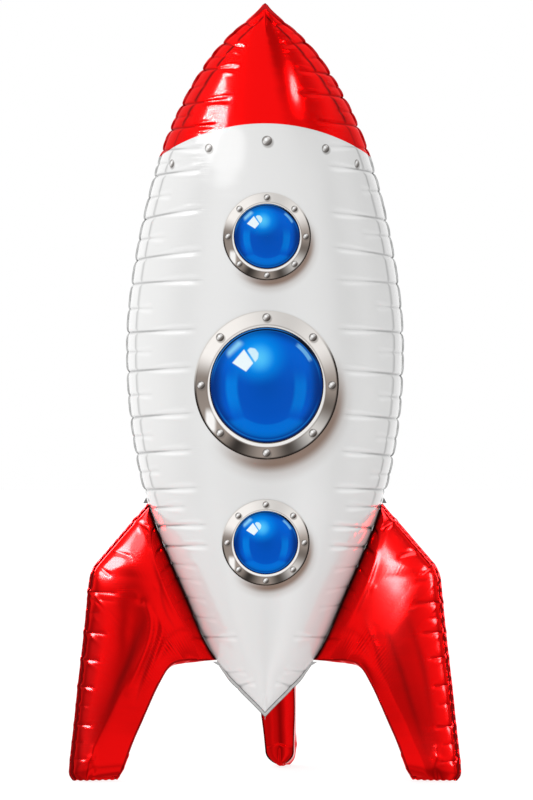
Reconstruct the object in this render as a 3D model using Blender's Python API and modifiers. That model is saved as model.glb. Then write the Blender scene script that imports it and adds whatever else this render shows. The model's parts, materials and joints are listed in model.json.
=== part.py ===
"""A standing rocket foil balloon: a hollow spindle envelope of three foil gores, three welded seams,
three printed portholes and three inflated fins that it stands on.

Metres, +Z up. The front, with the portholes, faces -Y. The origin is on the floor, under the middle
of the balloon's bounding box."""

import math

import bmesh
import bpy
import numpy as np
from mathutils import Matrix, Vector

# Overall size
HEIGHT = 1.500
AXIS_Y = -0.0585  # the envelope's axis, which stands forward of the middle of the box
FLOOR_Z = 0.0
GAP = 0.0003  # between pieces that touch

# Envelope: half widths at the side seams, from the nose to the tail, as (height, half width)
ENVELOPE_STATIONS = [
    (1.4892, 0.0),
    (1.428, 0.0748),
    (1.347, 0.1350),
    (1.230, 0.1913),
    (1.078, 0.2341),
    (0.923, 0.2599),
    (0.799, 0.2648),
    (0.659, 0.2525),
    (0.519, 0.2205),
    (0.360, 0.1573),
    (0.2315, 0.0955),
    (0.1276, 0.0),
]
STATION_STEPS = 3
ROUND_ANGLE = math.radians(90)  # between a gore and its chord where the envelope is round
TIP_ANGLE = math.radians(48)  # the same at the nose and the tail, where the gores lie flatter
TIP_LENGTH = 0.10
SECTION_STEPS = 14  # along each half of a cross section
WALL = 0.010
CORE_STEPS = 8

# Creases that run in from the welded seams, where the flat film gathers: heights of the long ones
# and of the short ones between them. The gores bulge a little between two creases.
LONG_CREASES = [
    1.4574, 1.4207, 1.3684, 1.3084, 1.2581, 1.2136, 1.1652, 1.0800, 1.0026, 0.9561, 0.8613,
    0.7839, 0.6968, 0.6252, 0.5584, 0.5226, 0.4858, 0.4510, 0.2729, 0.1781,
]
SHORT_CREASES = [
    1.1265, 1.0452, 0.9078, 0.8255, 0.7394, 0.6600, 0.5923, 0.4142, 0.3639, 0.3190, 0.2180,
]
CREASE_DEPTH = 0.0034
CREASE_BULGE = 0.0010
CREASE_FADE = [(0, 0.30), (13, 1.0), (26, 0.66), (39, 0.28), (52, 0.05), (55, 0.0)]
BULGE_FADE = [(0, 0.0), (13, 1.0), (26, 0.6), (39, 0.0)]
CORE_LOW, CORE_HIGH = 0.190, 1.440

# Colour line: the nose's edge is highest at the front and the back, and falls towards the side seams
NOSE_LINE_Z = 1.2575
NOSE_LINE_FALL = 1.47  # metres of fall for each square metre

# Welded seams of the envelope
SEAM_THICK = 0.0015
SEAM_OUT = 0.0045
SEAM_OUT_AT_TAIL = 0.0110
SEAM_IN = 0.007
SEAM_OUT_AT_FIN = 0.0015
SEAM_STEPS = [(0.552, 0.545), (0.214, 0.207)]  # where the seam narrows above and below a fin
PANEL_OFFSET = SEAM_THICK / 2 + GAP
REAR_SEAM_TURN = math.radians(6)  # the rear seam and its fin stand this far round to the right

# Portholes: (name, centre x, centre z, ring radii x and z, glass radii x and z)
PORTHOLES = [
    ("upper", 0.0037, 1.0407, 0.0827, 0.0833, 0.0626, 0.0618),
    ("middle", 0.0037, 0.7565, 0.1359, 0.1401, 0.1073, 0.1093),
    ("lower", 0.0015, 0.4592, 0.0828, 0.0809, 0.0613, 0.0595),
]
FILM_THICK = 0.001
FILM_SEGMENTS = 32

# Fins, each in its own plane: stations from the root to the foot, each a pair of points as
# (distance from the axis, height), the first on the inner edge and the second on the outer edge
FIN_TOP_Z = 0.529
FIN_ROOT_LOW_Z = 0.2285
FIN_STATIONS = [
    ((0.1300, 0.2262), (0.2600, 0.4900)),
    ((0.1580, 0.2260), (0.2985, 0.4460)),
    ((0.1768, 0.2232), (0.3245, 0.4160)),
    ((0.1895, 0.2165), (0.3345, 0.4010)),
    ((0.1998, 0.2045), (0.3395, 0.3830)),
    ((0.2090, 0.1885), (0.3435, 0.3480)),
    ((0.2205, 0.1660), (0.3485, 0.3000)),
    ((0.2335, 0.1365), (0.3555, 0.2400)),
    ((0.2465, 0.1060), (0.3635, 0.1750)),
    ((0.2600, 0.0750), (0.3705, 0.1100)),
    ((0.2715, 0.0450), (0.3765, 0.0600)),
    ((0.2795, 0.0235), (0.3800, 0.0270)),
    ((0.2850, 0.0095), (0.3805, 0.0105)),
    ((0.2920, 0.0010), (0.3750, 0.0010)),
    ((0.2960, -0.0035), (0.3700, -0.0035)),
    ((0.3000, -0.0070), (0.3660, -0.0070)),
]
FIN_STATION_STEPS = 2
FIN_COLUMNS = 9
FIN_ROOT_GAP = SEAM_OUT_AT_FIN + 0.0007
FIN_DEPTH = 0.25  # half thickness over width of an inflated fin
FIN_CREST = 0.42  # where a fin is thickest, from its inner to its outer edge
FIN_ROOT_SWELL = 0.055  # the length over which a fin swells to its full thickness from its root
FIN_FOOT_SWELL = 0.034  # the same from the foot's end
FIN_WALL = 0.006
FIN_CREASE_DEPTH = 0.0045
FIN_CREASES = [0.505, 0.432, 0.398, 0.362, 0.283, 0.228, 0.176, 0.101, 0.037]  # at the outer edge
FIN_CREASE_WIDTH = 0.012
FIN_EDGE = 0.0008  # what is left of a panel's thickness at its outline
FIN_SOLE = 0.008  # a foot is closed up to this height
FIN_FLANGE_THICK = 0.0012
FIN_FLANGE_OUT = 0.004
FIN_FLANGE_IN = 0.009
FIN_PANEL_OFFSET = FIN_FLANGE_THICK / 2 + GAP
FIN_SWING = math.radians(12)  # the side fins lean forward about their roots

# Inner gusset of a fin, between its panels' lips
GUSSET_SHARE = 0.80  # half width over the fin's half thickness
GUSSET_WALL = 0.004
GUSSET_BULGE = 0.10  # how far it bulges, over its half width
GUSSET_LIP = 0.003  # how far the panels stand proud of it
GUSSET_END_Z = 0.004
GUSSET_END_LENGTH = 0.028
GUSSET_ROOT_SHARE = 0.30
GUSSET_COLUMNS = 7
GUSSET_CLEAR = 0.0010

# Tabs that tie a fin's ends to the seam: (height of the tip, height of the base, the base's reach)
TOP_TAB = (0.5435, 0.5320, 0.0115)
LOW_TAB = (0.2140, 0.2250, 0.0115)
TAB_THICK = 0.0012
TAB_CLEAR = 0.0022

# Inflation valve: a flat film tail in the rear seam, above the rear fin
VALVE_TOP_Z, VALVE_WIDTH, VALVE_LENGTH = 0.640, 0.030, 0.055
VALVE_DROOP = math.radians(35)

COLOURS = {
    "red_foil": ((0.78, 0.01, 0.02, 1), 0.18, 0.9),
    "white_foil": ((0.88, 0.88, 0.87, 1), 0.25, 0.3),
    "silver_foil": ((0.62, 0.62, 0.60, 1), 0.25, 0.9),
    "printed_ring": ((0.55, 0.50, 0.47, 1), 0.25, 0.6),
    "printed_glass": ((0.01, 0.12, 0.60, 1), 0.15, 0.3),
}


# Scene and object helpers


def clear_scene():
    for obj in list(bpy.data.objects):
        bpy.data.objects.remove(obj)


def make_collection(name):
    collection = bpy.data.collections.new(name)
    bpy.context.scene.collection.children.link(collection)
    return collection


def make_material(name):
    colour, roughness, metallic = COLOURS[name]
    material = bpy.data.materials.new(name)
    material.use_nodes = True
    shader = material.node_tree.nodes["Principled BSDF"]
    shader.inputs["Base Color"].default_value = colour
    shader.inputs["Roughness"].default_value = roughness
    shader.inputs["Metallic"].default_value = metallic
    material.diffuse_color = colour
    return material


def link(obj, collection, parent=None, material=None):
    collection.objects.link(obj)
    if parent is not None:
        obj.parent = parent
    if material is not None:
        obj.data.materials.clear()
        obj.data.materials.append(material)
    return obj


def mesh_from_bmesh(name, bm):
    bmesh.ops.recalc_face_normals(bm, faces=bm.faces)
    mesh = bpy.data.meshes.new(name)
    bm.to_mesh(mesh)
    bm.free()
    return mesh


def as_cutter(obj):
    obj.hide_render = True
    obj.display_type = "WIRE"
    return obj


def boolean(obj, cutter, operation):
    modifier = obj.modifiers.new(f"{operation.lower()} {cutter.name}", "BOOLEAN")
    modifier.operation = operation
    modifier.object = cutter
    modifier.solver = "EXACT"


def smooth(obj):
    obj.data.shade_smooth()
    obj.data.set_sharp_from_angle(angle=math.radians(40))


# Shape of the envelope


def tangents(points):
    """Slopes of a smooth curve through the points."""
    points = np.asarray(points, float)
    inner = (points[2:] - points[:-2]) / 2
    return np.vstack([points[1] - points[0], inner, points[-1] - points[-2]])


def smooth_curve(points, steps):
    """Points of a cubic curve through the given ones, with this many steps between each two."""
    points = np.asarray(points, float)
    slopes = tangents(points)
    made = []
    for start, end, leave, arrive in zip(points, points[1:], slopes, slopes[1:]):
        for t in np.arange(steps) / steps:
            made.append(
                (2 * t**3 - 3 * t**2 + 1) * start
                + (t**3 - 2 * t**2 + t) * leave
                + (3 * t**2 - 2 * t**3) * end
                + (t**3 - t**2) * arrive
            )
    made.append(points[-1])
    return np.array(made)


PROFILE = smooth_curve(ENVELOPE_STATIONS, STATION_STEPS)
NOSE_Z, TAIL_Z = PROFILE[0][0], PROFILE[-1][0]


def half_width(z):
    return float(np.interp(z, PROFILE[::-1, 0], PROFILE[::-1, 1]))


def chord_angle(z):
    """Angle between a gore and its chord at this height: a right angle is a half circle."""
    from_tip = max(0.0, min(NOSE_Z - z, z - TAIL_Z))
    return ROUND_ANGLE - (ROUND_ANGLE - TIP_ANGLE) * math.exp(-from_tip / TIP_LENGTH)


def section(z, steps, inset=0.0, crease=0.0):
    """The closed cross section at a height: two equal arcs that meet at the side seams."""
    angle = chord_angle(z)
    width = half_width(z)
    radius = width / math.sin(angle)
    points = []
    for half in (-1, 1):
        for k in range(steps):
            turn = angle * (2 * k / steps - 1)
            x = -half * radius * math.sin(turn)
            y = half * radius * (math.cos(turn) - math.cos(angle))
            shrink = (width - inset - dent(x, y, width, crease)) / width
            points.append((x * shrink, y * shrink, z))
    return points


def dent(x, y, width, crease):
    """How far a crease sinks the envelope here. It is below zero on the bulge between two creases."""
    around = math.degrees(math.atan2(x, y))
    rear = math.degrees(REAR_SEAM_TURN)
    from_seam = min(abs(around - 90), abs(around + 90), abs(around - rear))
    size = min(1.0, width / 0.12)
    if crease > 0:
        return size * crease * CREASE_DEPTH * fade(CREASE_FADE, from_seam)
    return size * crease * CREASE_BULGE * fade(BULGE_FADE, from_seam)


def fade(table, from_seam):
    return float(np.interp(from_seam, [row[0] for row in table], [row[1] for row in table]))


def crease_rows():
    """Heights of the envelope's rings from the nose down, each with its crease: -1 is a bulge."""
    creases = [(z, 1.0) for z in LONG_CREASES] + [(z, 0.5) for z in SHORT_CREASES]
    creases.sort(reverse=True)
    rows = [((NOSE_Z + creases[0][0]) / 2, 0.0)]
    for crease, after in zip(creases, creases[1:]):
        rows.append(crease)
        rows.append(((crease[0] + after[0]) / 2, -1.0))
    rows.append(creases[-1])
    rows.append(((TAIL_Z + creases[-1][0]) / 2, 0.0))
    return rows


def hull_radius(z, from_y_axis):
    """Distance from the axis to the envelope at a height, at this angle from the Y axis."""
    angle = chord_angle(z)
    radius = half_width(z) / math.sin(angle)
    back = radius * math.cos(angle)
    along = back * math.cos(from_y_axis)
    return -along + math.sqrt(along**2 + radius**2 - back**2)


def root_radius(z, from_y_axis):
    """Distance from the axis to a fin's root, which clears the seam squarely."""
    step = 0.002
    higher, lower = hull_radius(z + step, from_y_axis), hull_radius(z - step, from_y_axis)
    slope = (higher - lower) / (2 * step)
    return hull_radius(z, from_y_axis) + FIN_ROOT_GAP * math.sqrt(1 + slope**2)


def front_y(x, z):
    """The front of the envelope, before the shift to the axis."""
    angle = chord_angle(z)
    radius = half_width(z) / math.sin(angle)
    return -(math.sqrt(radius**2 - x**2) - radius * math.cos(angle))


def loft(name, rings, low_pole=None, high_pole=None):
    """A closed solid through rings of equally many points, ended by a pole or a flat cap."""
    bm = bmesh.new()
    loops = [[bm.verts.new(p) for p in ring] for ring in rings]
    for lower, upper in zip(loops, loops[1:]):
        count = len(lower)
        for k in range(count):
            after = (k + 1) % count
            bm.faces.new((lower[k], lower[after], upper[after], upper[k]))
    for loop, pole in ((loops[0], high_pole), (loops[-1], low_pole)):
        if pole is None:
            bm.faces.new(loop)
            continue
        tip = bm.verts.new(pole)
        for k, vert in enumerate(loop):
            bm.faces.new((vert, loop[(k + 1) % len(loop)], tip))
    return mesh_from_bmesh(name, bm)


def box_cutter(name, low, high, collection, parent, turn=0.0):
    """A box between two corners, turned about the axis."""
    bm = bmesh.new()
    bmesh.ops.create_cube(bm, size=1.0)
    size = [b - a for a, b in zip(low, high)]
    middle = [(a + b) / 2 for a, b in zip(low, high)]
    bmesh.ops.scale(bm, vec=size, verts=bm.verts)
    bmesh.ops.translate(bm, vec=middle, verts=bm.verts)
    obj = bpy.data.objects.new(name, mesh_from_bmesh(name, bm))
    link(obj, collection, parent)
    obj.rotation_euler = (0, 0, turn)
    return as_cutter(obj)


def outline_curve(name, points, half_thick):
    """A flat plate in the XZ plane with this outline, as a filled 2D curve."""
    curve = bpy.data.curves.new(name, "CURVE")
    curve.dimensions = "2D"
    curve.fill_mode = "BOTH"
    curve.extrude = half_thick
    spline = curve.splines.new("POLY")
    spline.points.add(len(points) - 1)
    for point, (x, z) in zip(spline.points, points):
        point.co = (x, z, 0, 1)
    spline.use_cyclic_u = True
    return bpy.data.objects.new(name, curve)


UPRIGHT = Matrix.Rotation(math.radians(90), 4, "X")


def curve_to_mesh(obj):
    """The curve's evaluated mesh as a new object in its place, with its caps welded."""
    bpy.context.view_layer.update()
    graph = bpy.context.evaluated_depsgraph_get()
    mesh = bpy.data.meshes.new_from_object(obj.evaluated_get(graph))
    bm = bmesh.new()
    bm.from_mesh(mesh)
    bmesh.ops.remove_doubles(bm, verts=bm.verts, dist=1e-6)
    bmesh.ops.recalc_face_normals(bm, faces=bm.faces)
    bm.to_mesh(mesh)
    bm.free()
    made = bpy.data.objects.new(obj.name + "_solid", mesh)
    for collection in obj.users_collection:
        collection.objects.link(made)
    made.parent = obj.parent
    made.matrix_world = obj.matrix_world
    bpy.data.objects.remove(obj)
    return made


def nose_line(x):
    return NOSE_LINE_Z - NOSE_LINE_FALL * x**2


def colour_cutter(name, shift, far_z, collection, parent):
    """A prism on one side of the colour line, for splitting the red nose from the white hull."""
    reach = 0.30
    xs = np.linspace(-reach, reach, 17)
    points = [(x, nose_line(x) + shift) for x in xs]
    points += [(reach, far_z), (-reach, far_z)]
    plate = outline_curve(name + "_outline", points, 0.5)
    link(plate, collection, parent)
    plate.matrix_local = UPRIGHT
    cutter = curve_to_mesh(plate)
    cutter.name = name
    return as_cutter(cutter)


def add_gores(parts, cutters, root, materials):
    """Three foil gores, each a shell, split again where the print changes from red to white."""
    rings = [section(z, SECTION_STEPS, 0.0, crease) for z, crease in crease_rows()]
    outer = loft("gore", rings, (0, 0, TAIL_Z), (0, 0, NOSE_Z))
    core_rings = [
        section(z, CORE_STEPS, WALL)
        for z in np.linspace(CORE_HIGH, CORE_LOW, 2 * CORE_STEPS)
    ]
    core = bpy.data.objects.new("core", loft("core", core_rings))
    as_cutter(link(core, cutters, root))
    far = 0.6
    front = box_cutter(
        "front_half", (-far, -far, -far), (far, -PANEL_OFFSET, 2), cutters, root
    )
    rear = box_cutter(
        "rear_half", (-far, PANEL_OFFSET, -far), (far, far, 2), cutters, root
    )
    turn = -REAR_SEAM_TURN
    left = box_cutter(
        "rear_left", (-far, -far, -far), (-PANEL_OFFSET, far, 2), cutters, root, turn
    )
    right = box_cutter(
        "rear_right", (PANEL_OFFSET, -far, -far), (far, far, 2), cutters, root, turn
    )
    above = colour_cutter("above_line", GAP / 2, 1.6, cutters, root)
    below = colour_cutter("below_line", -GAP / 2, 0.0, cutters, root)
    gores = {"front": [front], "rear_left": [rear, left], "rear_right": [rear, right]}
    bands = {"nose": (above, "red_foil"), "hull": (below, "white_foil")}
    for gore, sides in gores.items():
        for band, (band_cutter, material) in bands.items():
            name = f"{band}_{gore}"
            mesh = outer.copy()
            mesh.name = name
            obj = bpy.data.objects.new(name, mesh)
            link(obj, parts, root, materials[material])
            smooth(obj)
            boolean(obj, core, "DIFFERENCE")
            for cutter in (*sides, band_cutter):
                boolean(obj, cutter, "INTERSECT")


# Welded seams


def normals_of(path):
    """Unit normals of an open path, to the left of its direction."""
    path = np.asarray(path, float)
    along = np.gradient(path, axis=0)
    along /= np.linalg.norm(along, axis=1)[:, None]
    return np.column_stack([-along[:, 1], along[:, 0]])


def seam_outline(from_y_axis, nearest):
    """The strip of welded foil along one seam: it stands proud of the envelope, less so at a fin."""
    steps = [z for pair in SEAM_STEPS for z in pair]
    clear = [z for z, _ in PROFILE[1:-1] if min(abs(z - step) for step in steps) > 0.003]
    heights = sorted(clear + steps, reverse=True)
    path = np.array([(hull_radius(z, from_y_axis), z) for z in heights])
    path = np.vstack([(0.0, NOSE_Z), path, (0.0, TAIL_Z)])
    out = normals_of(path)
    at_fin = (path[:, 1] < SEAM_STEPS[0][1] + 0.001) & (path[:, 1] > SEAM_STEPS[1][0] - 0.001)
    reach = np.where(path[:, 1] < SEAM_STEPS[1][1] + 0.001, SEAM_OUT_AT_TAIL, SEAM_OUT)
    reach = np.where(at_fin, SEAM_OUT_AT_FIN, reach)
    outer = path + out * reach[:, None]
    inner = path - out * SEAM_IN
    top_slope = (path[1] - path[0]) / np.linalg.norm(path[1] - path[0])
    low_slope = (path[-2] - path[-1]) / np.linalg.norm(path[-2] - path[-1])
    outer[0] = (0.0, HEIGHT)
    outer[-1] = (0.0, TAIL_Z - SEAM_OUT_AT_TAIL / low_slope[0])
    inner[0] = (0.0, NOSE_Z - SEAM_IN / top_slope[0])
    inner[-1] = (0.0, TAIL_Z + SEAM_IN / low_slope[0])
    strip = np.vstack([outer, inner[::-1]])
    strip[:, 0] = np.maximum(strip[:, 0], nearest)
    keep = [0]
    for k in range(1, len(strip)):
        if np.linalg.norm(strip[k] - strip[keep[-1]]) > 1e-4:
            keep.append(k)
    return strip[keep]


def add_seams(parts, root, material):
    """Left, right and rear seams, as thin strips held between the gores."""
    quarter = math.radians(90)
    seams = {
        "seam_left": (quarter, 0.0002, math.radians(180)),
        "seam_right": (quarter, 0.0002, 0.0),
        "seam_rear": (REAR_SEAM_TURN, 0.0013, quarter - REAR_SEAM_TURN),
    }
    for name, (from_y_axis, nearest, turn) in seams.items():
        outline = seam_outline(from_y_axis, nearest)
        strip = outline_curve(name, outline, SEAM_THICK / 2)
        link(strip, parts, root, material)
        strip.matrix_local = Matrix.Rotation(turn, 4, "Z") @ UPRIGHT


# Portholes


def add_porthole(parts, root, materials, label, middle, ring_radii, glass_radii):
    """A printed ring and its glass, as film that lies on the front gore."""

    def on_hull(share, turn, radii):
        x = middle[0] + share * radii[0] * math.cos(turn)
        z = middle[1] + share * radii[1] * math.sin(turn)
        return Vector((x, front_y(x, z) - 1.7 * GAP, z))

    turns = [2 * math.pi * k / FILM_SEGMENTS for k in range(FILM_SEGMENTS)]
    bare = 1.004  # the ring's hole clears the glass by a hair
    ring_hole = [bare * g / r for g, r in zip(glass_radii, ring_radii)]
    bm = bmesh.new()
    loops = []
    for step in (0.0, 0.5, 1.0):
        radii = [
            r * (hole + (1 - hole) * step) for r, hole in zip(ring_radii, ring_hole)
        ]
        loops.append([bm.verts.new(on_hull(1.0, t, radii)) for t in turns])
    film(parts, root, f"porthole_ring_{label}", bm, loops, materials["printed_ring"])
    bm = bmesh.new()
    loops = [
        [bm.verts.new(on_hull(share, t, glass_radii)) for t in turns]
        for share in (0.25, 0.5, 0.75, 1.0)
    ]
    centre = bm.verts.new(on_hull(0.0, 0.0, glass_radii))
    for k, vert in enumerate(loops[0]):
        bm.faces.new((vert, loops[0][(k + 1) % FILM_SEGMENTS], centre))
    film(parts, root, f"porthole_glass_{label}", bm, loops, materials["printed_glass"])


def film(parts, root, name, bm, loops, material):
    """Joins the loops with faces that look to the front, and gives them the film's thickness."""
    for inner, outer in zip(loops, loops[1:]):
        for k in range(FILM_SEGMENTS):
            after = (k + 1) % FILM_SEGMENTS
            bm.faces.new((inner[k], inner[after], outer[after], outer[k]))
    bmesh.ops.recalc_face_normals(bm, faces=bm.faces)
    if sum(face.normal.y for face in bm.faces) > 0:
        bmesh.ops.reverse_faces(bm, faces=bm.faces)
    mesh = bpy.data.meshes.new(name)
    bm.to_mesh(mesh)
    bm.free()
    obj = bpy.data.objects.new(name, mesh)
    link(obj, parts, root, material)
    thick = obj.modifiers.new("film", "SOLIDIFY")
    thick.thickness = FILM_THICK
    thick.offset = 1.0


# Fins


def root_edge(share, from_y_axis, swing):
    """A point of a fin's root, from its low end to its top, so that it fits once it has swung."""

    def at(z):
        return np.array((root_radius(z, from_y_axis), z))

    low, top = at(FIN_ROOT_LOW_Z), at(FIN_TOP_Z)
    along = (top - low) / np.linalg.norm(top - low)
    from_low = at(FIN_ROOT_LOW_Z + (FIN_TOP_Z - FIN_ROOT_LOW_Z) * share) - low
    on_chord = (from_low @ along) * along
    return low + on_chord + (from_low - on_chord) / math.cos(swing)


def fin_edges(from_y_axis, swing):
    """The inner and the outer edge of a fin, as equally many points from the root to the foot."""
    low, top = (root_edge(share, from_y_axis, swing) for share in (0.0, 1.0))
    pairs = [(*low, *top)] + [(*inner, *outer) for inner, outer in FIN_STATIONS]
    curve = smooth_curve(pairs, FIN_STATION_STEPS)
    return curve[:, :2], curve[:, 2:]


def fin_grid(from_y_axis, swing):
    """Points of a fin's plane, by row from the root to the foot and by column across it."""
    inner, outer = fin_edges(from_y_axis, swing)
    shares = [(1 - math.cos(math.pi * j / (FIN_COLUMNS - 1))) / 2 for j in range(FIN_COLUMNS)]
    root = np.array([root_edge(share, from_y_axis, swing) for share in shares])
    straight = np.array([inner[0] + (outer[0] - inner[0]) * share for share in shares])
    bow = root - straight
    fade = 3 * FIN_STATION_STEPS
    rows = []
    for r, (start, end) in enumerate(zip(inner, outer)):
        left = max(0.0, 1 - r / fade)
        rows.append([start + (end - start) * t + b * left for t, b in zip(shares, bow)])
    return np.array(rows), shares


def swell(length, full):
    """How much of its full thickness a pillow has at this distance from its end."""
    t = min(max(length / full, 0.0), 1.0)
    return math.sqrt(1 - (1 - t) ** 2)


def fin_half_thickness(rows):
    """Half thickness of a fin on its grid, and the gusset's half width along its inner edge."""
    shares = np.array([(1 - math.cos(math.pi * j / (FIN_COLUMNS - 1))) / 2 for j in range(FIN_COLUMNS)])
    heights, gussets = [], []
    foot_z = rows[-1][0][1]
    along = 0.0
    for r, row in enumerate(rows):
        if r:
            along += np.linalg.norm((row[0] + row[-1] - rows[r - 1][0] - rows[r - 1][-1]) / 2)
        width = np.linalg.norm(row[-1] - row[0])
        full = FIN_DEPTH * min(width, 0.19) * swell(along, FIN_ROOT_SWELL)
        full *= swell(row[FIN_COLUMNS // 2][1] - foot_z, FIN_FOOT_SWELL)
        root_share = GUSSET_ROOT_SHARE + (1 - GUSSET_ROOT_SHARE) * min(1.0, along / 0.09)
        gusset = GUSSET_SHARE * root_share * full
        gusset *= swell(row[0][1] - GUSSET_END_Z, GUSSET_END_LENGTH)
        line = []
        for t in shares:
            if t > FIN_CREST:
                line.append(full * math.sqrt(max(0.0, 1 - ((t - FIN_CREST) / (1 - FIN_CREST)) ** 2)))
            else:
                line.append(gusset + (full - gusset) * (1 - ((FIN_CREST - t) / FIN_CREST) ** 2))
        nearest = min(abs(row[-1][1] - z) for z in FIN_CREASES)
        sink = FIN_CREASE_DEPTH * max(0.0, 1 - nearest / FIN_CREASE_WIDTH)
        line = [max(0.0, h - sink * min(1.0, 3 * t * t)) for h, t in zip(line, shares)]
        heights.append(line)
        gussets.append(gusset)
    return np.array(heights), np.array(gussets)


def grid_shell(name, outer_rows, inner_rows):
    """A closed plate between two grids of points, joined round their rims."""
    bm = bmesh.new()
    outer = [[bm.verts.new(p) for p in row] for row in outer_rows]
    inner = [[bm.verts.new(p) for p in row] for row in inner_rows]
    last_row, last_column = len(outer) - 1, len(outer[0]) - 1
    for sheet in (outer, inner):
        for r in range(last_row):
            for c in range(last_column):
                bm.faces.new((sheet[r][c], sheet[r][c + 1], sheet[r + 1][c + 1], sheet[r + 1][c]))
    rim = [(r, 0) for r in range(last_row)]
    rim += [(last_row, c) for c in range(last_column)]
    rim += [(r, last_column) for r in range(last_row, 0, -1)]
    rim += [(0, c) for c in range(last_column, 0, -1)]
    for (r, c), (r2, c2) in zip(rim, rim[1:] + rim[:1]):
        bm.faces.new((outer[r][c], outer[r2][c2], inner[r2][c2], inner[r][c]))
    return mesh_from_bmesh(name, bm)


def fin_panel(name, rows, heights, side):
    """One of a fin's two side panels: a shell that rises from the fin's plane."""
    outer, inner = [], []
    for row, line in zip(rows, heights):
        rise = [max(h, FIN_EDGE) for h in line]
        closed = row[0][1] < FIN_SOLE
        hollow = [0.0 if closed else max(h - FIN_WALL, 0.0) for h in line]
        outer.append([(x, side * (FIN_PANEL_OFFSET + h), z) for (x, z), h in zip(row, rise)])
        inner.append([(x, side * (FIN_PANEL_OFFSET + h), z) for (x, z), h in zip(row, hollow)])
    return grid_shell(name, outer, inner)


def fin_gusset(name, rows, gussets):
    """The strip between the two panels along the fin's inner edge."""
    edge = np.array([row[0] for row in rows])
    inward = normals_of(edge)
    if inward[len(inward) // 2][0] < 0:
        inward = -inward
    outer, inner = [], []
    for point, way, gusset in zip(edge, inward, gussets):
        width = gusset - FIN_WALL - GUSSET_CLEAR
        if width < 0.002:
            continue
        front, back = [], []
        for j in range(GUSSET_COLUMNS):
            t = 2 * j / (GUSSET_COLUMNS - 1) - 1
            bulge = GUSSET_BULGE * width * (1 - t**2)
            y = t * (width + FIN_PANEL_OFFSET)
            x, z = point + way * (GUSSET_LIP - bulge)
            front.append((x, y, z))
            x, z = point + way * (GUSSET_LIP - bulge + GUSSET_WALL)
            back.append((x, y, z))
        outer.append(front)
        inner.append(back)
    return grid_shell(name, outer, inner)


def fin_flange_outline(outer_edge, from_y_axis):
    """The welded strip along a fin's outer edge: it stands proud of the panels."""
    out = normals_of(outer_edge)
    if out[len(out) // 2][0] < 0:
        out = -out
    proud = outer_edge + out * FIN_FLANGE_OUT
    sunk = outer_edge - out * FIN_FLANGE_IN
    for strip in (proud, sunk):
        strip[0, 0] = max(strip[0, 0], root_radius(strip[0, 1], from_y_axis))
    return np.vstack([proud, sunk[::-1]])


def root_line(from_y_axis):
    """The top and the low end of the line about which a fin leans."""
    top = Vector((root_radius(FIN_TOP_Z, from_y_axis), 0, FIN_TOP_Z))
    low = Vector((root_radius(FIN_ROOT_LOW_Z, from_y_axis), 0, FIN_ROOT_LOW_Z))
    return top, low


def add_fins(parts, cutters, root, materials):
    """Three fins on the three seams. The side fins lean forward, so that the balloon stands."""
    sole = box_cutter("floor", (-1, -1, -0.2), (1, 1, FLOOR_Z), cutters, root)
    flange_sole = box_cutter("floor_flange", (-1, -1, -0.2), (1, 1, FLOOR_Z + 0.001), cutters, root)
    quarter = math.radians(90)
    fins = {
        "fin_left": (quarter, math.radians(180), FIN_SWING, {1: "front", -1: "rear"}),
        "fin_right": (quarter, 0.0, -FIN_SWING, {-1: "front", 1: "rear"}),
        "fin_rear": (REAR_SEAM_TURN, quarter - REAR_SEAM_TURN, 0.0, {1: "left", -1: "right"}),
    }
    for name, (from_y_axis, turn, swing, sides) in fins.items():
        rows, _ = fin_grid(from_y_axis, swing)
        heights, gussets = fin_half_thickness(rows)
        top, low = root_line(from_y_axis)
        lean = (
            Matrix.Translation(top)
            @ Matrix.Rotation(swing, 4, (top - low).normalized())
            @ Matrix.Translation(-top)
        )
        spin = Matrix.Rotation(turn, 4, "Z")
        for side, word in sides.items():
            panel_name = f"{name}_{word}_panel"
            mesh = fin_panel(panel_name, rows, heights, side)
            panel = bpy.data.objects.new(panel_name, mesh)
            link(panel, parts, root, materials["red_foil"])
            smooth(panel)
            panel.matrix_local = spin @ lean
            boolean(panel, sole, "DIFFERENCE")
        mesh = fin_gusset(f"{name}_gusset", rows, gussets)
        gusset = bpy.data.objects.new(f"{name}_gusset", mesh)
        link(gusset, parts, root, materials["red_foil"])
        smooth(gusset)
        gusset.matrix_local = spin @ lean
        outline = fin_flange_outline(rows[:, -1], from_y_axis)
        plate = outline_curve(f"{name}_edge", outline, FIN_FLANGE_THICK / 2)
        link(plate, parts, root)
        plate.matrix_local = spin @ lean @ UPRIGHT
        flange = curve_to_mesh(plate)
        flange.name = f"{name}_flange"
        flange.data.materials.append(materials["red_foil"])
        boolean(flange, flange_sole, "DIFFERENCE")
        for word, (tip_z, base_z, reach) in {"top": TOP_TAB, "low": LOW_TAB}.items():
            near = [(hull_radius(z, from_y_axis) + TAB_CLEAR, z) for z in (tip_z, base_z)]
            far = [(hull_radius(base_z, from_y_axis) + reach, base_z)]
            tab = outline_curve(f"{name}_{word}_tab", near + far, TAB_THICK / 2)
            link(tab, parts, root, materials["silver_foil"])
            tab.matrix_local = spin @ UPRIGHT


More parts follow.
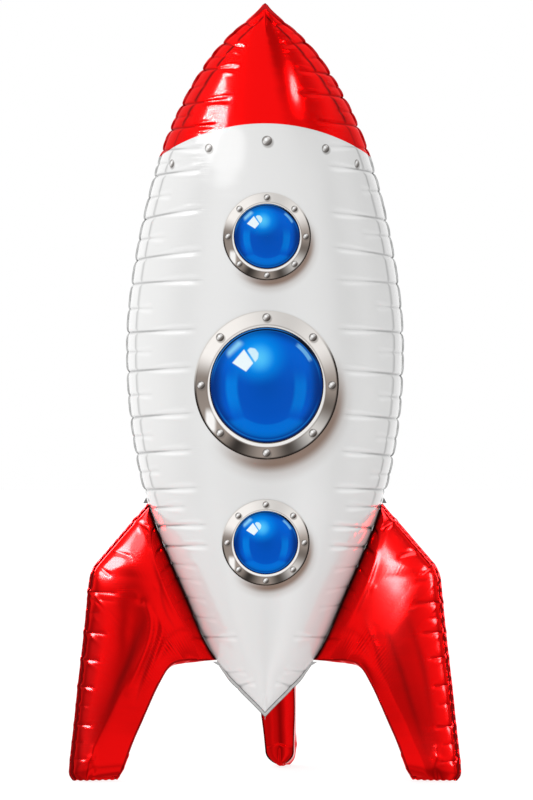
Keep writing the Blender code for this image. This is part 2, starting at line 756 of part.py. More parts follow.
def add_valve(parts, root, material):
    """The tail of the self-sealing inflation valve, which hangs out of the rear seam."""
    start = hull_radius(VALVE_TOP_Z, REAR_SEAM_TURN) + SEAM_OUT + 2 * GAP
    along = Vector((math.cos(VALVE_DROOP), -math.sin(VALVE_DROOP)))
    across = Vector((-along.y, along.x))
    top = Vector((start, VALVE_TOP_Z))
    corners = [
        top,
        top + along * VALVE_LENGTH,
        top + along * VALVE_LENGTH - across * VALVE_WIDTH,
        Vector((start - 0.004, VALVE_TOP_Z - VALVE_WIDTH * 1.1)),
    ]
    tail = outline_curve("inflation_valve", [tuple(c) for c in corners], TAB_THICK / 2)
    link(tail, parts, root, material)
    turn = math.radians(90) - REAR_SEAM_TURN
    tail.matrix_local = Matrix.Rotation(turn, 4, "Z") @ UPRIGHT


def main():
    clear_scene()
    parts = make_collection("rocket_foil_balloon")
    cutters = make_collection("cutters")
    materials = {name: make_material(name) for name in COLOURS}
    root = bpy.data.objects.new("rocket", None)
    link(root, parts)
    root.location = (0, AXIS_Y, 0)
    bpy.context.view_layer.update()
    add_gores(parts, cutters, root, materials)
    add_seams(parts, root, materials["silver_foil"])
    for label, x, z, ring_x, ring_z, glass_x, glass_z in PORTHOLES:
        add_porthole(
            parts, root, materials, label, (x, z), (ring_x, ring_z), (glass_x, glass_z)
        )
    add_fins(parts, cutters, root, materials)
    add_valve(parts, root, materials["silver_foil"])


main()
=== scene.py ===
import json
import math

import bpy
import numpy as np
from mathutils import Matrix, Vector

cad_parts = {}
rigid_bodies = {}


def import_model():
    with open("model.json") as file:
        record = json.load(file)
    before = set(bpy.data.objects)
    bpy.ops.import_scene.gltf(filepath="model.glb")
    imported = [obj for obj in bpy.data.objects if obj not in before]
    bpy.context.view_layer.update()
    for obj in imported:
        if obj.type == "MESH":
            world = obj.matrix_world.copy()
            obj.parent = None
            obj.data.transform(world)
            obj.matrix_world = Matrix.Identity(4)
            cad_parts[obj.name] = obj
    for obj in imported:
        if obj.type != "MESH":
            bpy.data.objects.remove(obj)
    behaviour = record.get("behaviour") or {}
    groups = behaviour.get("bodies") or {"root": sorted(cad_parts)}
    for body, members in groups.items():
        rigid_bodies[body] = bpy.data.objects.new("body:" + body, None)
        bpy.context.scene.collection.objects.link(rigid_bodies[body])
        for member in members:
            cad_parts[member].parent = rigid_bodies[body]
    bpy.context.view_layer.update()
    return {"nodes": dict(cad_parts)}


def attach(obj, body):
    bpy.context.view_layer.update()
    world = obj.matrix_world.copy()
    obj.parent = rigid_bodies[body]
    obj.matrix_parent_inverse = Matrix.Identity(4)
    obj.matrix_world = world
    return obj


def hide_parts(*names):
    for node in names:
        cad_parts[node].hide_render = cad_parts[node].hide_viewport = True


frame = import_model()

# Frame: metres, +Z up, the front faces -Y. The envelope's axis stands at AXIS_Y.
AXIS_Y = -0.0585
PIXEL = 1.5 / 775  # metres of the axis plane to a pixel of the photograph
PIXEL_X, PIXEL_Z = 265.0, 778.0  # the pixels of the axis and of the floor
MIDDLE_X, MIDDLE_Y, PHOTO_HEIGHT = 266.5, 400, 800
MIRROR_X = 530.6  # the right fin's pixel x is MIRROR_X - x on the left fin
CAMERA_DISTANCE, SENSOR = 9.5, 36.0
BODY = "root"


def px_x(x):
    return (np.asarray(x, float) - PIXEL_X) * PIXEL


def px_z(y):
    return (PIXEL_Z - np.asarray(y, float)) * PIXEL


CAMERA_X, CAMERA_Z = float(px_x(MIDDLE_X)), float(px_z(MIDDLE_Y))


# The envelope: the same stations and sections as the CAD's, as (height, half width)
STATIONS = [
    (1.4892, 0.0), (1.428, 0.0748), (1.347, 0.1350), (1.230, 0.1913), (1.078, 0.2341),
    (0.923, 0.2599), (0.799, 0.2648), (0.659, 0.2525), (0.519, 0.2205), (0.360, 0.1573),
    (0.2315, 0.0955), (0.1276, 0.0),
]
ROUND_ANGLE, TIP_ANGLE, TIP_LENGTH = math.radians(90), math.radians(48), 0.10
REAR_TURN = math.radians(6)
NOSE_LINE_Z, NOSE_LINE_FALL = 1.2575, 1.32


def smooth_curve(points, steps):
    """Points of a smooth curve through the given ones."""
    points = np.asarray(points, float)
    slopes = np.vstack([points[1] - points[0], (points[2:] - points[:-2]) / 2, points[-1] - points[-2]])
    t = (np.arange(steps) / steps)[:, None]
    at_a, at_b = 2 * t**3 - 3 * t**2 + 1, 3 * t**2 - 2 * t**3
    slope_a, slope_b = t**3 - 2 * t**2 + t, t**3 - t**2
    made = [
        at_a * a + slope_a * m + at_b * b + slope_b * n for a, b, m, n in zip(points, points[1:], slopes, slopes[1:])
    ]
    return np.vstack([*made, points[-1:]])


PROFILE = smooth_curve(STATIONS, 24)
NOSE_Z, TAIL_Z = STATIONS[0][0], STATIONS[-1][0]


def half_width(z):
    return np.interp(z, PROFILE[::-1, 0], PROFILE[::-1, 1])


def chord_angle(z):
    from_tip = np.maximum(0.0, np.minimum(NOSE_Z - z, z - TAIL_Z))
    return ROUND_ANGLE - (ROUND_ANGLE - TIP_ANGLE) * np.exp(-from_tip / TIP_LENGTH)


def smoothstep(low, high, x):
    t = np.clip((x - low) / (high - low), 0, 1)
    return t * t * (3 - 2 * t)


def bell(x):
    return np.exp(-(x**2))


def from_photo(u, v):
    """x and z of the envelope's front where the photograph shows it."""
    x, z = float(px_x(u)), float(px_z(v))
    for _ in range(8):
        angle = chord_angle(z)
        radius = half_width(z) / np.sin(angle)
        depth = math.sqrt(max(radius**2 - x**2, 0.0)) - radius * math.cos(angle)
        near = (CAMERA_DISTANCE - max(depth, 0.0)) / CAMERA_DISTANCE
        x = CAMERA_X + (u - MIDDLE_X) * PIXEL * near
        z = CAMERA_Z + (MIDDLE_Y - v) * PIXEL * near
    return x, z


# Creases: (y at the seam, y at the inner end, x of the inner end, strength), in the photograph's pixels
LEFT_CREASES = [
    (23.5, 27, 251, 1.0), (33, 35, 236, 0.4), (44, 48, 242, 1.0), (57, 58, 224, 0.4), (70.4, 68, 236, 1.0),
    (88, 86, 200, 0.4), (105.6, 100, 229, 1.0), (118, 116, 190, 0.4), (130.6, 124.7, 217.5, 1.0),
    (151, 148, 200, 0.8), (164, 162, 180, 0.3), (177, 169, 200, 1.0), (198, 195, 171, 0.5),
    (220, 209, 200, 1.0), (240, 237, 165, 0.5), (261, 250.6, 201, 0.9), (284.4, 280, 201, 0.9),
    (309, 308, 153, 0.5), (333, 329, 194.5, 1.0), (352, 351, 152, 0.4), (372, 367, 191, 1.0),
    (395, 394, 152, 0.5), (417.5, 413, 191, 1.0), (436, 435, 153, 0.4), (453.6, 449, 191, 1.0),
    (471.5, 471, 160, 0.4), (489.6, 487, 197, 0.9), (508, 506, 185, 0.7), (526, 524, 205, 1.0),
    (545.4, 545, 207, 0.9), (563, 565, 195, 0.4), (577, 580, 200, 0.3), (596, 599, 204, 0.3),
    (616, 618, 214, 0.3), (637, 636, 235, 0.6), (672, 671, 243, 0.3), (686, 681, 253, 0.5),
]
RIGHT_CREASES = [
    (23.5, 26, 275, 1.0), (33, 35, 292, 0.4), (43, 45, 285, 1.0), (58, 59, 308, 0.4), (75, 70.4, 300, 1.0),
    (88, 86, 330, 0.4), (98, 93, 303, 1.0), (113, 111, 340, 0.4), (127, 122, 316, 1.0),
    (149, 146, 328, 0.6), (173.6, 166, 330, 1.0), (192, 190, 362, 0.5), (221, 212.4, 332, 1.0),
    (237, 234, 364, 0.5), (258.4, 247, 335, 0.9), (284, 280, 338, 0.7), (308, 306, 376, 0.5),
    (333, 329, 340, 1.0), (353, 352, 378, 0.4), (375.7, 369.7, 344, 1.0), (397, 396, 378, 0.6),
    (418.8, 414.3, 343.6, 1.0), (438, 437, 376, 0.4), (456, 451, 342, 1.0), (474, 474, 370, 0.4),
    (489.3, 487.7, 335, 1.0), (507, 506, 346, 0.7), (527.6, 525.7, 332, 1.0), (546, 546, 330, 0.8),
    (566, 568, 336, 0.4), (586, 589, 328, 0.3), (604, 607, 322, 0.3), (637, 636, 296, 0.5),
    (671, 670, 287, 0.3), (686, 681, 278, 0.5),
]
REAR_CREASES = [(a, (a + b) / 2 + 1.5, x, k) for a, b, x, k in LEFT_CREASES]

GROOVE_DEPTH = 0.0034
PILLOW_DEPTH = 0.0005
SHOULDER = 0.0011


def crease_table(creases):
    """(height at the seam, height at the inner end, reach in degrees from the seam, strength)."""
    made = []
    for y_seam, y_in, x_in, strength in creases:
        x, z_in = from_photo(x_in, y_in)
        share = min(abs(x) / max(half_width(z_in), 0.012), 0.97)
        made.append((float(px_z(y_seam)), z_in, 90 - math.degrees(math.asin(share)), strength))
    return made


def relief(z, from_seam, creases, seed):
    """The film near one seam: how far it moves outward, how rucked it is, and the shade and glints painted on it.

    The painted shade is above 0 along the creases' dark lines and beside the seam, and below 0 along their pale
    painted glints.
    """
    out, ruck, fold, painted_glint = (np.zeros_like(z) for _ in range(4))
    in_nose = smoothstep(1.24, 1.28, z)
    free = 1 - 0.9 * smoothstep(0.548, 0.530, z) * smoothstep(0.215, 0.230, z)  # held where a fin sits
    rng = np.random.default_rng(seed)
    for z_seam, z_in, reach, strength in creases:
        wobble = rng.uniform(-1, 1, 3)
        c = from_seam / reach
        path = z_seam + (z_in - z_seam) * np.clip(c, 0, 1.2) ** 1.4 + 0.0006 * wobble[0] * np.sin(5 * c + wobble[1])
        off = z - path
        width = 0.0014 + 0.0020 * smoothstep(0.35, 0.95, c)
        fade = 1 - smoothstep(0.90, 1.03, c)
        held = 1 - (1 - free) * bell(from_seam / 4)
        depth = GROOVE_DEPTH * strength * fade * held * (0.85 - 0.30 * smoothstep(0.0, 0.6, c))
        # a sharp fold: steep above its line, gentle below it
        side = np.where(off > 0, 1.0, 1.9)
        out -= depth * np.exp(0.35 - np.sqrt((off / (width * side)) ** 2 + 0.12))
        # the leaf-shaped swellings on both sides of its inner end
        leaf = smoothstep(0.55, 0.85, c) * fade
        out += 0.50 * depth * leaf * bell((off - 2.4 * width) / (1.1 * width))
        out += 0.55 * depth * leaf * bell((off + 3.0 * width) / (1.3 * width))
        # the wide hollow between two pillows, and the pinch at the seam
        out -= PILLOW_DEPTH * strength * bell(off / 0.009) * bell(from_seam / 20)
        out -= 0.0020 * strength * free * np.exp(-np.abs(off) / 0.0035) * bell(from_seam / 5)
        # painted shade: a dark line along each crease, darkest near the seam and fainter at its leaf
        line = strength * fade * bell((off + 0.0003) / (0.0021 + 0.0010 * smoothstep(24, 6, from_seam)))
        fold = np.maximum(fold, line * (0.55 + 0.45 * smoothstep(24, 4, from_seam)) * (1 - 0.7 * leaf))
        # painted glints: pale bands beside each crease's inner end
        pale = strength * smoothstep(0.40, 0.80, c) * fade
        for share, shift in ((1.0, 2.0), (0.45, -2.0)):
            painted_glint = np.maximum(painted_glint, share * pale * bell((off + shift * width) / (1.1 * width)))
        ruck += strength * smoothstep(0.5, 0.85, c) * (1 - smoothstep(0.97, 1.15, c)) * bell(off / 0.020)
    out += 0.7 * PILLOW_DEPTH * bell(from_seam / 22)
    # a dark line painted beside the seam, broken at the creases: a painted reflection of a dark gap
    breaks = np.zeros_like(z)
    for z_seam, _, _, strength in creases:
        breaks = np.maximum(breaks, strength * bell((z - z_seam) / 0.0045))
    beside = half_width(z) * (1 - np.cos(np.radians(from_seam))) - 0.0178 - 0.0030 * breaks
    painted_line_and_pucker = bell(beside / (0.0016 + 0.0012 * in_nose)) * (1 - 0.6 * breaks)
    painted_line_and_pucker = painted_line_and_pucker * (0.52 + 0.48 * in_nose) * smoothstep(0.50, 0.56, z) * (from_seam < 80)
    fold = np.maximum(fold, painted_line_and_pucker)
    # the shoulder that joins the creases' inner ends
    _, heights, reaches, _ = zip(*[row for row in creases[::-1] if row[3] > 0.55])
    off = from_seam - np.interp(z, heights, reaches) - 1.5
    ridge = np.exp(0.5 - np.sqrt((off / np.where(off > 0, 12.0, 8.0)) ** 2 + 0.25))
    out += SHOULDER * (1 - 0.65 * in_nose) * ridge
    return out, np.clip(ruck, 0, 1), np.clip(fold, 0, 1) - np.clip(painted_glint, 0, 1) * (fold < 0.2)


LEFT, RIGHT, REAR = (crease_table(c) for c in (LEFT_CREASES, RIGHT_CREASES, REAR_CREASES))


def gore_surface(side, share, z):
    """Points of the envelope. side is -1 in front and 1 behind, and share runs from -1 to 1 across it."""
    angle = chord_angle(z)
    width = half_width(z)
    radius = width / np.sin(angle)
    turn = share * angle
    x = radius * np.sin(turn)
    y = side * (radius * np.cos(turn) - radius * np.cos(angle))
    left = np.degrees((1 + share) * math.pi / 2)
    right = np.degrees((1 - share) * math.pi / 2)
    # each seam's relief, rucking, and painted shade and glints
    rise_l, ruck_l, shade_glint_l = relief(z, left, LEFT, 1)
    rise_r, ruck_r, shade_glint_r = relief(z, right, RIGHT, 2)
    rise, ruck, fold = rise_l + rise_r, ruck_l + ruck_r, shade_glint_l + shade_glint_r
    if side > 0:
        from_rear = np.degrees(np.abs(share * math.pi / 2 - REAR_TURN))
        rise_b, ruck_b, shade_glint_b = relief(z, from_rear, REAR, 3)
        rise, ruck, fold = rise + rise_b, ruck + ruck_b, np.clip(fold + shade_glint_b, -1, 1)
        rise = rise - 0.004 * np.exp(-from_rear / 5)
    rise = rise * np.minimum(1, width / 0.10)
    # ridge folds at the nose's and the tail's tips
    tip = bell(x / 0.0035) * (bell((z - 1.463) / 0.014) + bell((z - 0.150) / 0.014))
    rise = rise + 0.0022 * tip
    nx, ny = np.sin(turn), side * np.cos(turn)
    return np.stack([x + nx * rise, AXIS_Y + y + ny * rise, z], axis=-1), np.clip(ruck, 0, 1), fold


# Meshes


def grid_object(name, points, attributes=None, closed=False, flip=False):
    """A surface through a grid of points, with float attributes of the same shape."""
    rows, cols = points.shape[:2]
    r = np.arange(rows - 1)[:, None]
    c = np.arange(cols if closed else cols - 1)[None, :]
    after = (c + 1) % cols
    quads = np.stack([r * cols + c, r * cols + after, (r + 1) * cols + after, (r + 1) * cols + c], axis=-1)
    quads = quads.reshape(-1, 4)
    if flip:
        quads = quads[:, ::-1]
    return mesh_object(name, points.reshape(-1, 3), quads, attributes)


def mesh_object(name, points, quads, attributes=None):
    mesh = bpy.data.meshes.new(name)
    mesh.vertices.add(len(points))
    mesh.vertices.foreach_set("co", np.ascontiguousarray(points, np.float32).ravel())
    mesh.loops.add(quads.size)
    mesh.loops.foreach_set("vertex_index", np.ascontiguousarray(quads, np.int32).ravel())
    mesh.polygons.add(len(quads))
    mesh.polygons.foreach_set("loop_start", np.arange(len(quads), dtype=np.int32) * quads.shape[1])
    mesh.polygons.foreach_set("use_smooth", np.ones(len(quads), bool))
    mesh.update(calc_edges=True)
    mesh.validate()
    for key, values in (attributes or {}).items():
        layer = mesh.attributes.new(key, "FLOAT", "POINT")
        layer.data.foreach_set("value", np.ascontiguousarray(values, np.float32).ravel())
    obj = bpy.data.objects.new(name, mesh)
    bpy.context.scene.collection.objects.link(obj)
    return obj


def piece(obj, material, slot, *nodes):
    obj.data.materials.append(material)
    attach(obj, BODY)
    if nodes:
        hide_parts(*nodes)
    return obj


# Shader building: sockets with arithmetic


class Sum:
    """A shader value that does arithmetic by adding Math nodes."""

    tree = None

    def __init__(self, socket):
        self.socket = socket

    @classmethod
    def make(cls, operation, *inputs):
        node = cls.tree.nodes.new("ShaderNodeMath")
        node.operation = operation
        for k, value in enumerate(inputs):
            if isinstance(value, Sum):
                cls.tree.links.new(value.socket, node.inputs[k])
            else:
                node.inputs[k].default_value = value
        return Sum(node.outputs[0])

    def __add__(self, other):
        return Sum.make("ADD", self, other)

    def __sub__(self, other):
        return Sum.make("SUBTRACT", self, other)

    def __rsub__(self, other):
        return Sum.make("SUBTRACT", other, self)

    def __mul__(self, other):
        return Sum.make("MULTIPLY", self, other)

    def __truediv__(self, other):
        return Sum.make("DIVIDE", self, other)

    def __neg__(self):
        return Sum.make("MULTIPLY", self, -1.0)

    __radd__ = __add__
    __rmul__ = __mul__


op = Sum.make


def length(a, b):
    return op("SQRT", a * a + b * b)


def ramp(value, low, high):
    """0 below low and 1 above high, with a soft step between them. low may be above high."""
    node = Sum.tree.nodes.new("ShaderNodeMapRange")
    node.interpolation_type = "SMOOTHSTEP"
    Sum.tree.links.new(value.socket, node.inputs["Value"])
    rising = low < high
    node.inputs["From Min"].default_value = min(low, high)
    node.inputs["From Max"].default_value = max(low, high)
    node.inputs["To Min"].default_value = 0.0 if rising else 1.0
    node.inputs["To Max"].default_value = 1.0 if rising else 0.0
    return Sum(node.outputs["Result"])


def mix(factor, a, b):
    """A colour between a and b, each a colour socket or three numbers."""
    node = Sum.tree.nodes.new("ShaderNodeMix")
    node.data_type = "RGBA"
    for socket, value in ((node.inputs[0], factor), (node.inputs[6], a), (node.inputs[7], b)):
        if isinstance(value, Sum):
            Sum.tree.links.new(value.socket, socket)
        elif isinstance(value, (int, float)):
            socket.default_value = value
        else:
            socket.default_value = (*value, 1)
    return Sum(node.outputs[2])


def colour_ramp(value, stops):
    node = Sum.tree.nodes.new("ShaderNodeValToRGB")
    Sum.tree.links.new(value.socket, node.inputs[0])
    node.color_ramp.interpolation = "EASE"
    elements = node.color_ramp.elements
    while len(elements) < len(stops):
        elements.new(1.0)
    for element, (place, colour) in zip(elements, stops):
        element.position = place
        element.color = (*colour, 1)
    return Sum(node.outputs[0])


def position(kind="Object"):
    """Coordinates as three values and a vector. The Object ones are the frame's own."""
    place = Sum.tree.nodes.new("ShaderNodeTexCoord")
    split = Sum.tree.nodes.new("ShaderNodeSeparateXYZ")
    Sum.tree.links.new(place.outputs[kind], split.inputs[0])
    return (*(Sum(split.outputs[k]) for k in range(3)), place.outputs[kind])


def attribute(name):
    node = Sum.tree.nodes.new("ShaderNodeAttribute")
    node.attribute_name = name
    return Sum(node.outputs["Fac"])


def noise(vector, scale, stretch=(1, 1, 1), detail=2.0, roughness=0.5):
    place = Sum.tree.nodes.new("ShaderNodeMapping")
    Sum.tree.links.new(vector, place.inputs["Vector"])
    place.inputs["Scale"].default_value = stretch
    node = Sum.tree.nodes.new("ShaderNodeTexNoise")
    Sum.tree.links.new(place.outputs[0], node.inputs["Vector"])
    node.inputs["Scale"].default_value = scale
    node.inputs["Detail"].default_value = detail
    node.inputs["Roughness"].default_value = roughness
    return Sum(node.outputs["Fac"])


def grey(value):
    """sRGB grey of 0 to 255 as a linear number."""
    c = value / 255
    return c / 12.92 if c <= 0.04045 else ((c + 0.055) / 1.055) ** 2.4


def rgb(r, g, b):
    return (grey(r), grey(g), grey(b))


FILM_IOR = 1.5


def new_material(name, metallic=0.0, roughness=0.3, coat=0.0, coat_roughness=0.05):
    material = bpy.data.materials.new(name)
    material.use_nodes = True
    Sum.tree = material.node_tree
    shader = material.node_tree.nodes["Principled BSDF"]
    shader.inputs["Metallic"].default_value = metallic
    shader.inputs["Roughness"].default_value = roughness
    shader.inputs["Coat Weight"].default_value = coat
    shader.inputs["Coat Roughness"].default_value = coat_roughness
    shader.inputs["IOR"].default_value = FILM_IOR
    return material, shader


def wire(value, socket):
    Sum.tree.links.new(value.socket, socket)


def bump(shader, height, distance):
    node = Sum.tree.nodes.new("ShaderNodeBump")
    wire(height, node.inputs["Height"])
    node.inputs["Distance"].default_value = distance
    Sum.tree.links.new(node.outputs[0], shader.inputs["Normal"])


GRAIN_DEPTH = 0.0011


def film_grain(vector, ruck):
    """Fine wrinkles that run across the film, strongest where it is rucked at the creases' ends."""
    fine = noise(vector, 1.0, (14, 14, 330), 3.0, 0.6)
    broad = noise(vector, 1.0, (9, 9, 22), 2.0, 0.5)
    return fine * (ruck * 0.5 + 0.03) + broad * 0.8


# Materials

# The printed rivet's shading, from its low right side to its upper left: (share, sRGB)
DOME_STOPS = [
    (0.0, (70, 64, 60)), (0.30, (120, 114, 110)), (0.52, (205, 202, 200)), (0.75, (228, 226, 224)),
    (1.0, (150, 146, 142)),
]


def rivet(x, z, centre_x, centre_z, radius, base):
    """A printed dome-headed rivet painted over base, lit from the upper left."""
    dx = (x - centre_x) / radius
    dz = (z - centre_z) / radius
    r = length(dx, dz)
    lit = (dz - dx) * 0.5
    body = colour_ramp(lit + 0.5, [(share, rgb(*colour)) for share, colour in DOME_STOPS])
    body = mix(ramp(length(dx + 0.22, dz - 0.28), 0.42, 0.18), body, (1.0, 1.0, 1.0))
    body = mix(ramp(r, 0.78, 1.0), body, rgb(88, 82, 78))
    shade = ramp(length(dx - 0.20, dz + 0.32), 1.35, 0.85) * 0.55
    under = mix(shade, base, rgb(110, 102, 96))
    return mix(ramp(r, 1.06, 0.94), under, body)


# The portholes: centre x and z, the ring's radii, the glass's radii, the rivets' circle, a rivet's radius
RINGS = {
    "upper": (0.0037, 1.0407, 0.0827, 0.0833, 0.0626, 0.0618, 0.0735, 0.0058),
    "middle": (0.0030, 0.7595, 0.1359, 0.1401, 0.1073, 0.1093, 0.1238, 0.0077),
    "lower": (0.0015, 0.4610, 0.0828, 0.0826, 0.0613, 0.0612, 0.0733, 0.0058),
}
# The rivets below the nose, in pixels: x, y, radius, and the share of the width that is left where the hull turns away
NOSE_RIVETS = [
    (267, 140.8, 5.0, 1.0), (208.7, 148, 4.3, 0.85), (325.6, 148.5, 4.3, 0.85), (171.8, 163.6, 4.2, 0.55),
    (356.9, 163.6, 4.2, 0.55),
]


def soft_shadow(x, z, base):
    """The brown drop shadows printed to the lower right of the portholes."""
    for cx, cy, rx, rz, *_ in RINGS.values():
        lee = ramp((x - cx) / rx * 0.7 - (z - cy) / rz, 0.1, 1.2)
        for shift, drop, spread, depth in ((0.03, 0.095, 0.11, 0.85), (0.05, 0.16, 0.20, 0.32)):
            r = length((x - cx - shift * rx) / rx, (z - cy + drop * rz) / rz)
            base = mix(ramp(r, 1.0 + spread, 0.97) * lee * depth, base, rgb(122, 90, 68))
    return base


def above_nose_line(x, z):
    """Height above the line between nose and hull."""
    return z - NOSE_LINE_Z + x * x * NOSE_LINE_FALL


def make_white():
    material, shader = new_material("white_film", metallic=0.09, roughness=0.12, coat=0.45, coat_roughness=0.035)
    x, y, z, vector = position()
    base = mix(noise(vector, 5.0, (1, 1, 0.4), 2.0), rgb(228, 228, 227), rgb(236, 236, 236))
    # painted shade along the creases and beside the seams, then painted glints at the creases' ends
    base = mix(op("MAXIMUM", attribute("fold"), 0.0), base, rgb(50, 50, 52))
    base = mix(op("MAXIMUM", -attribute("fold"), 0.0) * 0.9, base, (1.0, 1.0, 1.0))
    front = ramp(y, AXIS_Y + 0.02, AXIS_Y - 0.02)
    printed = soft_shadow(x, z, base)
    for cx, cy, radius, squeeze in NOSE_RIVETS:
        at_x, at_z = from_photo(cx, cy)
        printed = rivet((x - at_x) / squeeze, z, 0.0, at_z, radius * PIXEL, printed)
    base = mix(front, base, printed)
    base = mix(ramp(above_nose_line(x, z), -0.0024, -0.0010) * 0.35, base, rgb(190, 226, 226))
    wire(base, shader.inputs["Base Color"])
    bump(shader, film_grain(vector, attribute("ruck")), GRAIN_DEPTH)
    return material


def make_red(name, with_welds_and_shade=False):
    rough = 0.17 if with_welds_and_shade else 0.10
    material, shader = new_material(name, metallic=1.0, roughness=0.12, coat=0.10, coat_roughness=rough)
    *_, vector = position()
    shader.inputs["Specular Tint"].default_value = (0.9, 0.03, 0.04, 1)
    tone = noise(vector, 4.0, (1, 1, 1), 2.0)
    base = mix(tone, (0.87, 0.0004, 0.0006), (0.93, 0.0005, 0.0008))
    # painted shade along the creases and in the fins' deepest valleys
    base = mix(op("MAXIMUM", attribute("fold"), 0.0) * 0.9, base, (0.08, 0.0003, 0.0006))
    if with_welds_and_shade:
        # darker red at the welds and where shade is painted on the fins, near black where the painted shade is deepest
        base = mix(op("MINIMUM", attribute("weld"), 1.0), base, (0.42, 0.0005, 0.001))
        base = mix(ramp(attribute("weld"), 1.0, 1.6), base, (0.05, 0.0003, 0.0006))
    wire(base, shader.inputs["Base Color"])
    bump(shader, film_grain(vector, attribute("ruck")), GRAIN_DEPTH)
    return material


def make_silver():
    material, shader = new_material("silver_film", metallic=0.55, roughness=0.22)
    x, _, z, vector = position()
    red = ramp(above_nose_line(x, z), -0.001, 0.001)
    tone = noise(vector, 40.0, (1, 1, 6), 3.0)
    silver = mix(tone, rgb(196, 196, 195), rgb(236, 236, 235))
    silver = mix(ramp(z, 0.222, 0.236), silver, mix(tone, rgb(196, 197, 197), rgb(232, 232, 231)))
    # painted shade on the seam where a fin's root sits over it
    at_fin = ramp(z, 0.532, 0.522) * ramp(z, 0.228, 0.236)
    silver = mix(at_fin, silver, rgb(52, 34, 34))
    # darker lines along the strip's welds, stronger towards the tail
    edge = ramp(attribute("weld"), 0.45, 0.95) * (0.35 + 0.40 * ramp(z, 0.24, 0.22))
    silver = mix(edge, silver, rgb(56, 56, 58))
    wire(mix(red, silver, (0.62, 0.0008, 0.002)), shader.inputs["Base Color"])
    bump(shader, noise(vector, 1.0, (60, 60, 200), 2.0), 0.0003)
    return material


# The rings' printed metal: a few light and dark sectors, as (degrees from the right, anticlockwise; sRGB grey)
RING_SECTORS = [
    (0, 150), (35, 240), (72, 210), (125, 245), (152, 245), (175, 130), (225, 150), (243, 50), (270, 150), (290, 75),
    (318, 210), (342, 110), (360, 150),
]
PALE_TINT, DARK_TINT = (1.02, 0.98, 0.94), (1.12, 0.94, 0.82)
RING_RIVETS = 8


def make_ring(label):
    cx, cy, rx, rz, gx, _, rivet_r, rivet_size = RINGS[label]
    material, shader = new_material(f"ring_print_{label}", metallic=0.0, roughness=0.16)
    shader.inputs["Specular IOR Level"].default_value = 0.10
    x, _, z, _ = position()
    dx, dz = x - cx, z - cy
    p, q = dx / rx, dz / rz
    r = length(p, q)
    turn = op("ARCTAN2", q, p) / (2 * math.pi)
    turn = op("FRACT", turn + 1.0)
    stops = [(a / 360, [grey(v) * k for k in (PALE_TINT if v > 200 else DARK_TINT)]) for a, v in RING_SECTORS]
    base = colour_ramp(turn, stops)
    # an upright streak low on each side
    side = op("ABSOLUTE", p)
    streak = ramp(side, 0.87, 0.82) * ramp(side, 0.68, 0.74) * ramp(q, -0.28, -0.40) * ramp(q, -0.68, -0.58)
    base = mix(streak * ramp(p, 0.1, -0.1), base, rgb(248, 246, 244))
    # pale lip round the glass, its dark root, and the outline
    inner = gx / rx
    s = (r - inner) / (1 - inner)
    s_lip = s + 0.05 - 0.14 * ramp(q, 0.5, -0.5)
    base = mix(ramp(s_lip, 0.24, 0.12) * 0.60, base, rgb(120, 108, 100))
    base = mix(ramp(s_lip, 0.16, 0.06), base, rgb(244, 242, 240))
    dark_rim = ramp(q * 0.8 - p * 0.2, 0.50, 0.05)
    base = mix(ramp(s, 0.84, 0.95) * dark_rim, base, rgb(40, 33, 29))
    base = mix(ramp(s, 0.90, 0.98) * (1.0 - dark_rim), base, rgb(214, 210, 205))
    # the nearest of the rivets
    around = op("ROUND", turn * RING_RIVETS) * (2 * math.pi / RING_RIVETS)
    centre_x = op("COSINE", around) * rivet_r
    centre_z = op("SINE", around) * (rivet_r * rz / rx)
    base = rivet(dx, dz, centre_x, centre_z, rivet_size, base)
    wire(base, shader.inputs["Base Color"])
    return material


def polygon_mask(p, q, corners, soft):
    """1 inside a convex polygon, given anticlockwise."""
    mask = None
    for (x0, y0), (x1, y1) in zip(corners, corners[1:] + corners[:1]):
        length = math.hypot(x1 - x0, y1 - y0)
        nx, ny = -(y1 - y0) / length, (x1 - x0) / length
        side = ramp(p * nx + q * ny - (x0 * nx + y0 * ny), -soft, soft)
        mask = side if mask is None else mask * side
    return mask


# The glass's shading from its centre to its rim: (share of the radius, sRGB)
GLASS_STOPS = [
    (0.0, (0, 78, 180)), (0.45, (0, 82, 190)), (0.78, (0, 88, 200)), (0.93, (0, 56, 142)), (1.0, (0, 32, 90)),
]
# The printed reflections with straight edges, in shares of the glass's radii
STRIP = [(-0.70, 0.56), (-0.665, 0.49), (-0.415, 0.715), (-0.49, 0.77)]
WINDOW = [(-0.60, 0.385), (-0.36, 0.235), (-0.235, 0.38), (-0.395, 0.615)]
LEAF = [(-0.335, 0.60), (-0.20, 0.40), (-0.15, 0.46), (-0.14, 0.55), (-0.20, 0.63), (-0.29, 0.645)]


